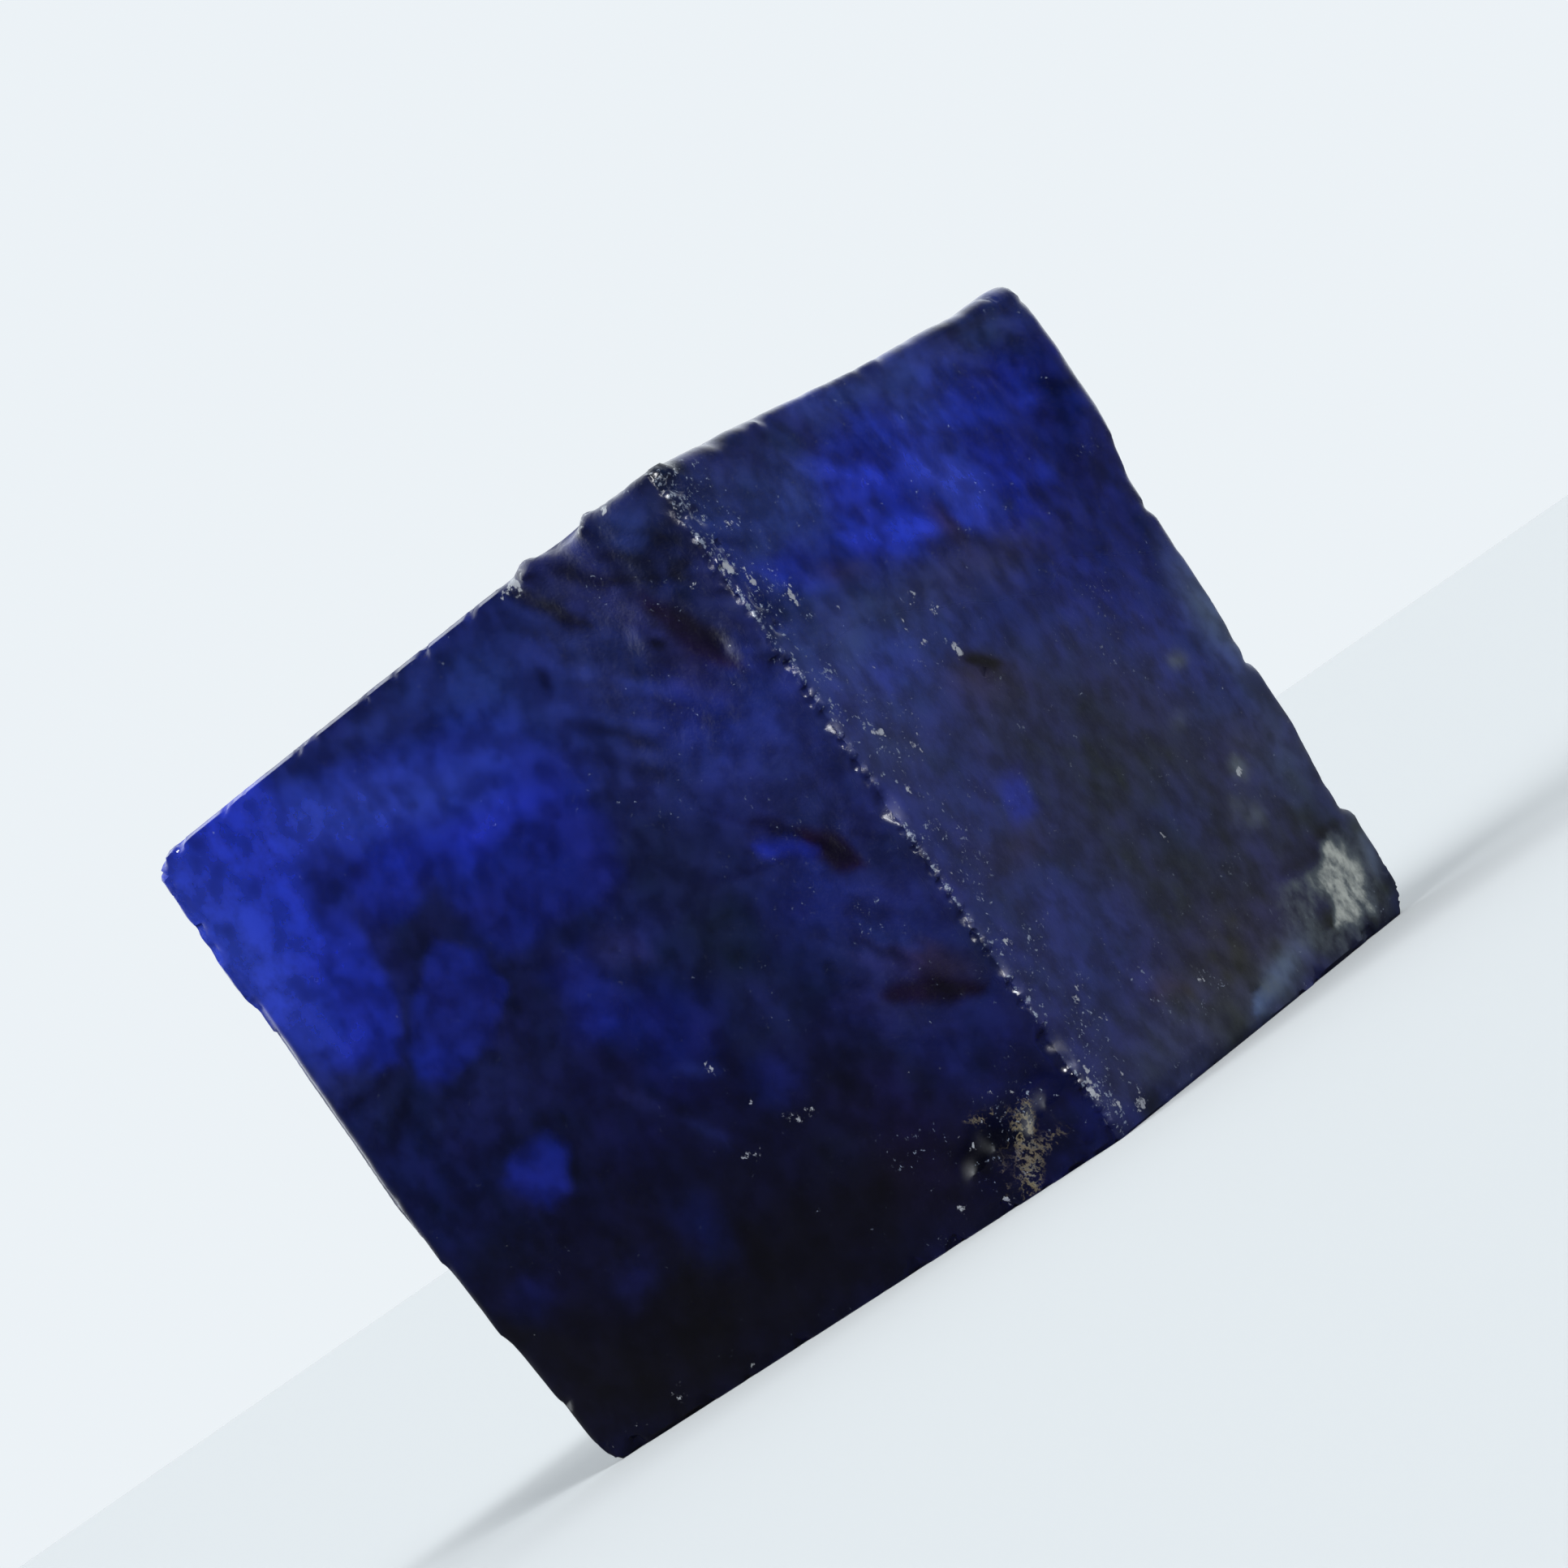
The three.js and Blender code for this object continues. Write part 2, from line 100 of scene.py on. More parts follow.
# How far the wear moves the surface, in millimetres, and the steps that a unit of the terraces' noise makes.
WAVE = 0.03
RIDGE = 0.04
TERRACE = 0.03
TERRACE_STEPS = 2.5
GRAIN = 0.014
RAGGED_EDGE = 0.02
CHIPPED_EDGE = 0.035
LEFT_BULGE = 0.16
CORNER_BULGE = 0.08
TOP_CORNER_BULGE = 0.2
TOP_RISE = 0.3
HOLLOW = 0.16
HOLLOW_LEVEL = 0.12
HIDDEN_TERRACE = 0.05
LEDGE_WANDER = 0.6
LEDGE_JITTER = 0.25

# The light: the sky glows behind the stone, more from the left, and is dark in front of it. The glow starts
# and is full where a direction leans that far, as a cosine, to the bright side.
PALE_SKY = (0.838, 0.888, 0.925, 1)
BRIGHT_SIDE = Vector((-0.74, 0.58, 0.34)).normalized()
GLOW_STARTS = 0.15
GLOW_FULL = 0.85
SKY_IN_FRONT = 0.01
SKY_BEHIND = 1.7
PALE_FLOOR = (0.341, 0.362, 0.376, 1)
DIM_FLOOR = (0.03, 0.03, 0.035, 1)
FLOOR_RADIUS = 3.0

# The soft lights: name, where it comes from, strength, width in degrees, and whether it shows in reflections.
LIGHTS = (
    ("key", (0.6, -0.4, 0.7), 2.5, 14, True),
    ("fill", (-0.25, -0.75, 0.55), 4.6, 70, False),
    ("side fill", (0.9, 0.3, 0.35), 3.4, 70, False),
)

# The stone's optics: the share of light that goes in, how it is absorbed, the roughness of polished and of
# matt places, and the depth of the finest unevenness.
REFRACTIVE_INDEX = 1.77
SEE_THROUGH = 0.5
SPECULAR_LEVEL = 0.3
ABSORBED_COLOUR = (0.09, 0.32, 0.90, 1)
ABSORBED_DENSITY = 160.0
ROUGHNESS = (0.2, 0.76)
BUMP_DEPTH = 0.06 * MM
BUMP_STRENGTH = 0.5

# The scattered specks and grains: cells a millimetre, each with room for one, how unevenly they are
# shaped, and how strongly their colour covers the paint. The specks are dust over the faces, and painted
# glints in a chain along the near edge.
SPECK_CELLS = 7.0
GRAIN_CELLS = 4.2
GRAIN_WOBBLE = 0.6
GRAIN_COVER = 0.8


def linear(red, green, blue):
    """A screen colour from 0 to 255 as linear light."""
    return np.array([((value / 255 + 0.055) / 1.055) ** 2.4 for value in (red, green, blue)])


# The paint's colours. INK and NIGHT also give painted shade low on the front, COBALT, BRIGHT and ICE a
# painted glow of light shining through, and HAZE and GREY a painted sheen on the right side.
INK = linear(6, 6, 13)
NIGHT = linear(7, 10, 40)
NAVY = linear(16, 22, 56)
DEEP = linear(16, 27, 94)
MIDBLUE = linear(20, 33, 128)
COBALT = linear(25, 43, 166)
BRIGHT = linear(36, 58, 190)
ICE = linear(46, 67, 184)
SLATE = linear(25, 34, 84)
HAZE = linear(31, 45, 110)
GREY = linear(34, 40, 64)
GREEN_GREY = linear(20, 29, 49)
TEAL = linear(66, 82, 120)
LIGHT_BLUE = linear(84, 108, 160)
VIOLET = linear(34, 38, 92)
STAIN = linear(20, 9, 33)
BROWN = linear(47, 37, 48)
STEEL = linear(42, 62, 138)
FROST = linear(82, 93, 99)
FROST_LIGHT = linear(146, 160, 180)
PALE = linear(180, 188, 183)
WHITE = linear(180, 187, 195)
GOLD = linear(134, 124, 95)

# How far the hue wanders between violet and green-grey. It wanders twice as far on the right side.
HUE_SHIFT = 0.16

# Patches on the hidden faces: colour, size in millimetres, seed, the noise at which the patch starts and is
# full, and how strongly it covers what is under it.
HIDDEN_PATCHES = (
    (COBALT, 3.2, 33, 0.0, 0.9, 0.7),
    (BRIGHT, 1.9, 36, 0.35, 0.9, 0.5),
    (SLATE, 4.0, 37, 0.1, 0.8, 0.6),
    (GREY, 2.8, 38, 0.2, 0.9, 0.4),
    (NIGHT, 2.2, 39, 0.2, 0.8, 0.7),
    (VIOLET, 1.6, 40, 0.35, 0.9, 0.4),
)


def smooth(low, high, value):
    """A smooth step from 0 at low to 1 at high."""
    t = np.clip((value - low) / (high - low), 0, 1)
    return t * t * (3 - 2 * t)


def noise(points, spacing, seed):
    """Smooth random values from -1 to 1, one for each point, on a lattice of that spacing."""
    lattice = np.random.default_rng(seed).uniform(-1, 1, (64, 64, 64))
    cell = points / spacing
    corner = np.floor(cell).astype(int)
    part = cell - corner
    part = part * part * (3 - 2 * part)
    total = np.zeros(len(points))
    for step in itertools.product((0, 1), repeat=3):
        index = (corner + step) % 64
        weight = np.prod(np.where(np.array(step) == 1, part, 1 - part), axis=1)
        total += weight * lattice[index[:, 0], index[:, 1], index[:, 2]]
    return total


def streaks(u, v, turn, length, width, seed):
    """Random values from -1 to 1 that run over a face in streaks of that length and width."""
    angle = math.radians(turn)
    along = (u * math.cos(angle) + v * math.sin(angle)) / length
    across = (v * math.cos(angle) - u * math.sin(angle)) / width
    return noise(np.stack([along, across, 0 * u], axis=1), 1, seed)


def oval(middle_u, middle_v, half_u, half_v, turn=0):
    """An outline on a face. It gives how many millimetres a point (u, v) lies outside it."""
    angle = math.radians(turn)

    def outside(u, v):
        du, dv = u - middle_u, v - middle_v
        across = (du * math.cos(angle) + dv * math.sin(angle)) / half_u
        along = (dv * math.cos(angle) - du * math.sin(angle)) / half_v
        return (np.hypot(across, along) - 1) * min(half_u, half_v)
    return outside


def corners(*points):
    """A convex outline, with its corners in clockwise order."""
    def outside(u, v):
        far = np.full(len(u), -FAR)
        for (u0, v0), (u1, v1) in zip(points, points[1:] + points[:1]):
            length = math.hypot(u1 - u0, v1 - v0)
            far = np.maximum(far, ((v - v0) * (u1 - u0) - (u - u0) * (v1 - v0)) / length)
        return far
    return outside


def stroke(u0, v0, u1, v1, width):
    """A streak that tapers to both ends."""
    def outside(u, v):
        length = math.hypot(u1 - u0, v1 - v0)
        part = np.clip(((u - u0) * (u1 - u0) + (v - v0) * (v1 - v0)) / length ** 2, 0, 1)
        off = np.hypot(u - u0 - part * (u1 - u0), v - v0 - part * (v1 - v0))
        return off - width / 2 * np.sqrt(4 * part * (1 - part) + 0.05)
    return outside


# Zones of colour, laid in turn: colour, outline, how soft the border is, and how strongly the zone covers
# what is under it. The front's outlines are in (x, z) and the right side's in (y, z), in millimetres from the
# middle of the face's foot. The shifts turn the frame's x and y into these. BLUR widens every border.
FRONT_SHIFT = 0.4
RIGHT_SHIFT = -0.25
BLUR = 1.4
FRONT_ZONES = [
    # The first ovals darken the front towards its foot: painted shade, where little light reaches the lower
    # part.
    (NAVY, oval(0, 12, 14, 5), 3.0, 0.7),
    (NIGHT, oval(-3, 6.5, 14, 4.5), 2.6, 0.8),
    (INK, oval(-2, 5.0, 13, 3.4), 2.6, 0.5),
    (INK, oval(-9, 3.4, 4, 2.6), 1.6, 0.5),
    (INK, oval(-3, 1.2, 13, 3.2), 2.2, 0.9),
    (DEEP, oval(-1, 21, 12.5, 4.4), 1.4, 0.9),
    (SLATE, oval(8.6, 19.5, 5.0, 6.0), 2.2, 0.85),
    (SLATE, oval(10.4, 11.0, 3.6, 6.5), 2.0, 0.8),
    (DEEP, oval(-8.0, 11.0, 4.5, 2.6), 1.6, 0.3),
    (SLATE, oval(-4.0, 12.2, 3.0, 0.9, 8), 1.0, 0.4),
    (NIGHT, oval(-5, 10.6, 4.4, 0.9, 4), 0.9, 0.4),
    (GREEN_GREY, oval(5.0, 12.6, 1.5, 4.0, -6), 1.2, 0.7),
    (NAVY, corners((-6.6, 18.2), (-3.0, 18.2), (-2.4, 16.6), (-6.8, 16.2)), 0.5, 0.8),
    # The cobalt, bright and ice zones at the left corner are partly the stone's colour zoning and partly a
    # painted glow of light shining through the thin corner from behind.
    (COBALT, corners((-13, 24.6), (-6.1, 24.6), (-6.0, 21.6), (-6.6, 18.2), (-6.9, 16.0), (-8.3, 14.4),
                     (-10, 15.0), (-13, 17.0)), 0.35, 0.95),
    (BRIGHT, oval(-9.0, 20.4, 2.2, 3.4, 6), 1.6, 0.5),
    (ICE, oval(-11.3, 19.6, 1.5, 3.2), 1.4, 0.85),
    (ICE, oval(-12.2, 22.2, 0.7, 1.9), 0.9, 0.7),
    (SLATE, oval(-12.0, 15.8, 1.8, 1.6, 20), 1.0, 0.6),
    (MIDBLUE, corners((-9.3, 18.6), (-6.8, 18.4), (-6.9, 16.0), (-8.3, 14.5), (-9.6, 15.6)), 0.3, 0.5),
    (DEEP, oval(-6.7, 20.1, 0.9, 1.3, 12), 0.5, 0.85),
    (MIDBLUE, corners((-5.9, 20.4), (-3.2, 20.6), (-2.9, 18.6), (-4.4, 18.0), (-5.8, 18.4)), 0.35, 0.85),
    # The cobalt band along the top, with its ice spots, is partly colour zoning and partly a painted glow of
    # light shining through from behind.
    (COBALT, corners((-6.1, 23.4), (-3.0, 22.9), (0, 22.2), (3.4, 21.2), (4.1, 18.1), (-2.0, 17.8),
                     (-3.1, 18.6), (-6.0, 21.3)), 0.5, 0.45),
    (COBALT, corners((-1.5, 19.2), (2.0, 19.3), (3.2, 18.1), (-1.5, 17.95)), 0.22, 0.3),
    (DEEP, stroke(0.6, 21.6, 3.6, 20.4, 0.8), 0.5, 0.4),
    (DEEP, stroke(-2.9, 20.0, -2.6, 18.6, 0.5), 0.3, 0.4),
    (ICE, oval(-5.4, 22.3, 1.6, 1.0, -12), 0.9, 0.7),
    (ICE, oval(-3.4, 21.5, 1.4, 0.8, -14), 0.7, 0.6),
    (STEEL, oval(-0.6, 20.6, 2.6, 1.0, -14), 0.9, 0.5),
    (DEEP, oval(3.1, 18.9, 1.2, 1.0, 10), 0.7, 0.35),
    (DEEP, oval(-4.0, 23.4, 1.1, 0.5, -20), 0.5, 0.6),
    (SLATE, oval(-0.5, 23.8, 3.6, 0.5), 0.5, 0.6),
    (STEEL, oval(1.4, 23.0, 4.6, 0.9, -4), 0.8, 0.35),
    (COBALT, oval(-3.0, 19.2, 1.0, 0.8), 0.6, 0.3),
    (HAZE, oval(5.0, 19.8, 1.5, 1.8, 20), 1.2, 0.5),
    (STEEL, oval(3.0, 21.4, 1.3, 1.0), 0.9, 0.35),
    (MIDBLUE, oval(9.9, 17.6, 2.2, 1.7, -20), 1.0, 0.6),
    (MIDBLUE, oval(9.0, 11.2, 1.2, 1.1), 0.8, 0.35),
    (MIDBLUE, oval(1.2, 9.7, 1.4, 0.8), 0.8, 0.3),
    (HAZE, oval(11.4, 16.6, 1.2, 1.6), 0.8, 0.6),
    (HAZE, oval(2.3, 13.2, 1.7, 1.2), 1.0, 0.35),
    (SLATE, oval(5.2, 9.2, 1.4, 1.0), 0.8, 0.35),
    (MIDBLUE, oval(0.8, 11.2, 1.6, 0.8, -20), 0.8, 0.4),
    (NAVY, oval(-0.2, 22.8, 0.7, 0.5, -30), 0.4, 0.4),
    (MIDBLUE, corners((-2.8, 17.6), (3.7, 17.9), (3.9, 16.4), (3.0, 15.0), (0.4, 14.8), (-2.2, 15.3),
                      (-2.7, 16.6)), 0.3, 0.42),
    (MIDBLUE, corners((-7.8, 14.5), (-4.3, 16.8), (-2.7, 15.7), (-2.8, 14.4), (-4.5, 13.1), (-7.2, 12.9),
                      (-8.0, 13.6)), 0.16, 0.62),
    (COBALT, oval(-7.0, 13.6, 0.8, 0.5, 10), 0.4, 0.4),
    (NIGHT, oval(-3.2, 12.9, 1.5, 0.8, 24), 0.7, 0.5),
    (MIDBLUE, corners((-1.4, 13.8), (0.6, 14.0), (0.5, 12.4), (-0.4, 11.4), (-1.3, 12.2)), 0.4, 0.4),
    (MIDBLUE, oval(-0.7, 11.6, 0.8, 0.4, -15), 0.4, 0.5),
    (VIOLET, corners((0.4, 13.6), (1.3, 14.1), (2.2, 13.7), (2.5, 12.3), (1.6, 12.5), (0.9, 13.0)),
     0.35, 0.85),
    (NIGHT, oval(1.1, 12.5, 0.8, 0.25, -35), 0.3, 0.5),
    (MIDBLUE, corners((-7.5, 9.4), (-6.8, 9.9), (-5.0, 9.8), (-4.5, 9.1), (-5.4, 8.0), (-6.6, 7.8)),
     0.28, 0.8),
    (MIDBLUE, oval(-9.1, 5.8, 0.9, 0.55, 10), 0.4, 0.25),
    # These dark ovals at the foot are painted shade.
    (INK, oval(3.0, 2.5, 5.0, 2.2), 1.2, 0.85),
    (INK, oval(-6.0, 2.0, 6.0, 2.2), 1.2, 0.6),
    (NIGHT, oval(-9.2, 5.9, 1.6, 0.8), 0.8, 0.4),
    (DEEP, oval(-5.2, 4.4, 0.9, 0.5), 0.6, 0.3),
    (DEEP, oval(-1.9, 4.6, 0.7, 1.0, 10), 0.6, 0.35),
    (DEEP, oval(3.6, 7.2, 1.0, 0.7, -10), 0.5, 0.5),
    (NAVY, oval(4.8, 4.5, 1.2, 0.8), 0.8, 0.5),
    (STAIN, oval(6.8, 3.6, 1.6, 2.4, 12), 1.4, 0.35),
    (INK, oval(-0.9, 9.9, 0.8, 0.3, 20), 0.3, 0.5),
    (VIOLET, stroke(-1.6, 9.6, -0.7, 8.6, 0.4), 0.3, 0.5),
    (SLATE, stroke(-0.1, 7.8, 0.5, 6.3, 0.3), 0.3, 0.6),
    (HAZE, stroke(0.9, 9.2, 1.9, 8.6, 0.3), 0.3, 0.5),
    (MIDBLUE, corners((8.6, 5.9), (12.4, 6.0), (12.0, 4.2), (10.2, 3.6), (8.8, 4.4)), 0.6, 0.15),
    (NIGHT, oval(11.2, 3.3, 1.4, 1.1), 0.7, 0.5),
    (MIDBLUE, oval(10.9, 8.8, 1.6, 1.0, -30), 0.7, 0.15),
    (VIOLET, oval(8.8, 7.4, 1.1, 0.7, -35), 0.5, 0.5),
    (HAZE, oval(8.6, 15.9, 2.0, 0.9, -12), 0.9, 0.5),
    (HAZE, oval(7.6, 20.2, 2.6, 1.7, -35), 1.4, 0.5),
    (VIOLET, oval(8.2, 22.6, 1.7, 0.9, -40), 0.6, 0.6),
    (STEEL, oval(10.9, 23.2, 0.9, 0.7, 0), 0.5, 0.4),
    (NIGHT, oval(11.4, 22.2, 1.0, 0.6, 0), 0.4, 0.6),
    (NAVY, corners((10.4, 20.8), (12.4, 20.6), (12.4, 18.4), (10.4, 18.8)), 0.4, 0.6),
    (VIOLET, stroke(8.9, 21.2, 10.3, 17.2, 1.0), 0.4, 0.7),
    (BROWN, stroke(9.6, 21.4, 10.2, 18.4, 0.4), 0.3, 0.3),
    (STAIN, stroke(9.9, 21.3, 11.3, 17.9, 1.1), 0.25, 0.9),
    (INK, stroke(10.5, 20.8, 11.4, 18.3, 0.7), 0.25, 0.6),
    (NIGHT, stroke(11.2, 21.4, 12.1, 21.3, 0.4), 0.15, 0.8),
    (NIGHT, stroke(5.9, 23.8, 7.6, 21.7, 0.7), 0.2, 0.9),
    (NIGHT, stroke(7.7, 23.6, 9.6, 21.9, 0.55), 0.2, 0.85),
    (NIGHT, stroke(9.6, 23.2, 10.9, 22.0, 0.5), 0.2, 0.8),
    (NIGHT, oval(5.2, 21.2, 0.22, 0.35, -20), 0.15, 0.7),
    (NIGHT, oval(9.3, 19.75, 0.32, 0.2, -30), 0.1, 0.9),
    (NIGHT, oval(9.3, 21.4, 0.35, 0.2, -40), 0.15, 0.6),
    (NIGHT, stroke(7.1, 15.5, 8.1, 14.2, 0.22), 0.12, 0.7),
    (NIGHT, stroke(8.0, 14.1, 9.9, 12.4, 0.5), 0.12, 0.9),
    (STAIN, stroke(9.5, 12.9, 10.9, 10.9, 1.1), 0.18, 0.95),
    (INK, stroke(9.7, 12.5, 10.7, 11.2, 0.5), 0.15, 0.5),
    (NIGHT, stroke(5.8, 13.3, 9.2, 12.2, 0.2), 0.12, 0.7),
    (COBALT, stroke(7.8, 13.3, 9.6, 12.15, 0.45), 0.2, 0.8),
    (NIGHT, stroke(11.2, 12.1, 12.4, 11.2, 0.3), 0.15, 0.6),
    (VIOLET, stroke(9.2, 9.4, 10.4, 7.6, 0.4), 0.2, 0.7),
    (BROWN, oval(10.9, 7.3, 1.2, 0.6, -32), 0.35, 0.6),
    (VIOLET, stroke(8.6, 9.2, 10.0, 7.4, 0.4), 0.2, 0.8),
    (HAZE, stroke(9.5, 9.8, 10.8, 7.8, 0.3), 0.2, 0.8),
    (NIGHT, stroke(9.0, 9.5, 10.4, 7.5, 0.25), 0.12, 0.8),
    (STAIN, stroke(8.8, 7.5, 11.9, 6.0, 0.8), 0.2, 0.95),
    (INK, stroke(10.2, 6.8, 11.9, 6.0, 0.5), 0.15, 0.6),
    (NIGHT, stroke(7.9, 8.4, 9.0, 7.6, 0.3), 0.2, 0.6),
    (SLATE, stroke(-12.2, 14.4, -9.0, 15.0, 0.5), 0.3, 0.8),
    (NIGHT, stroke(-11.5, 14.0, -8.8, 14.2, 0.5), 0.3, 0.8),
    (SLATE, stroke(-10.2, 13.3, -9.2, 13.8, 0.5), 0.3, 0.7),
    (NIGHT, stroke(-10.4, 12.4, -8.8, 13.4, 0.4), 0.3, 0.7),
    (SLATE, stroke(-8.6, 12.2, -7.8, 11.8, 0.3), 0.2, 0.6),
    # This dark oval at the foot is painted shade.
    (INK, oval(9.6, 1.3, 2.4, 1.4, 8), 0.9, 0.8),
]

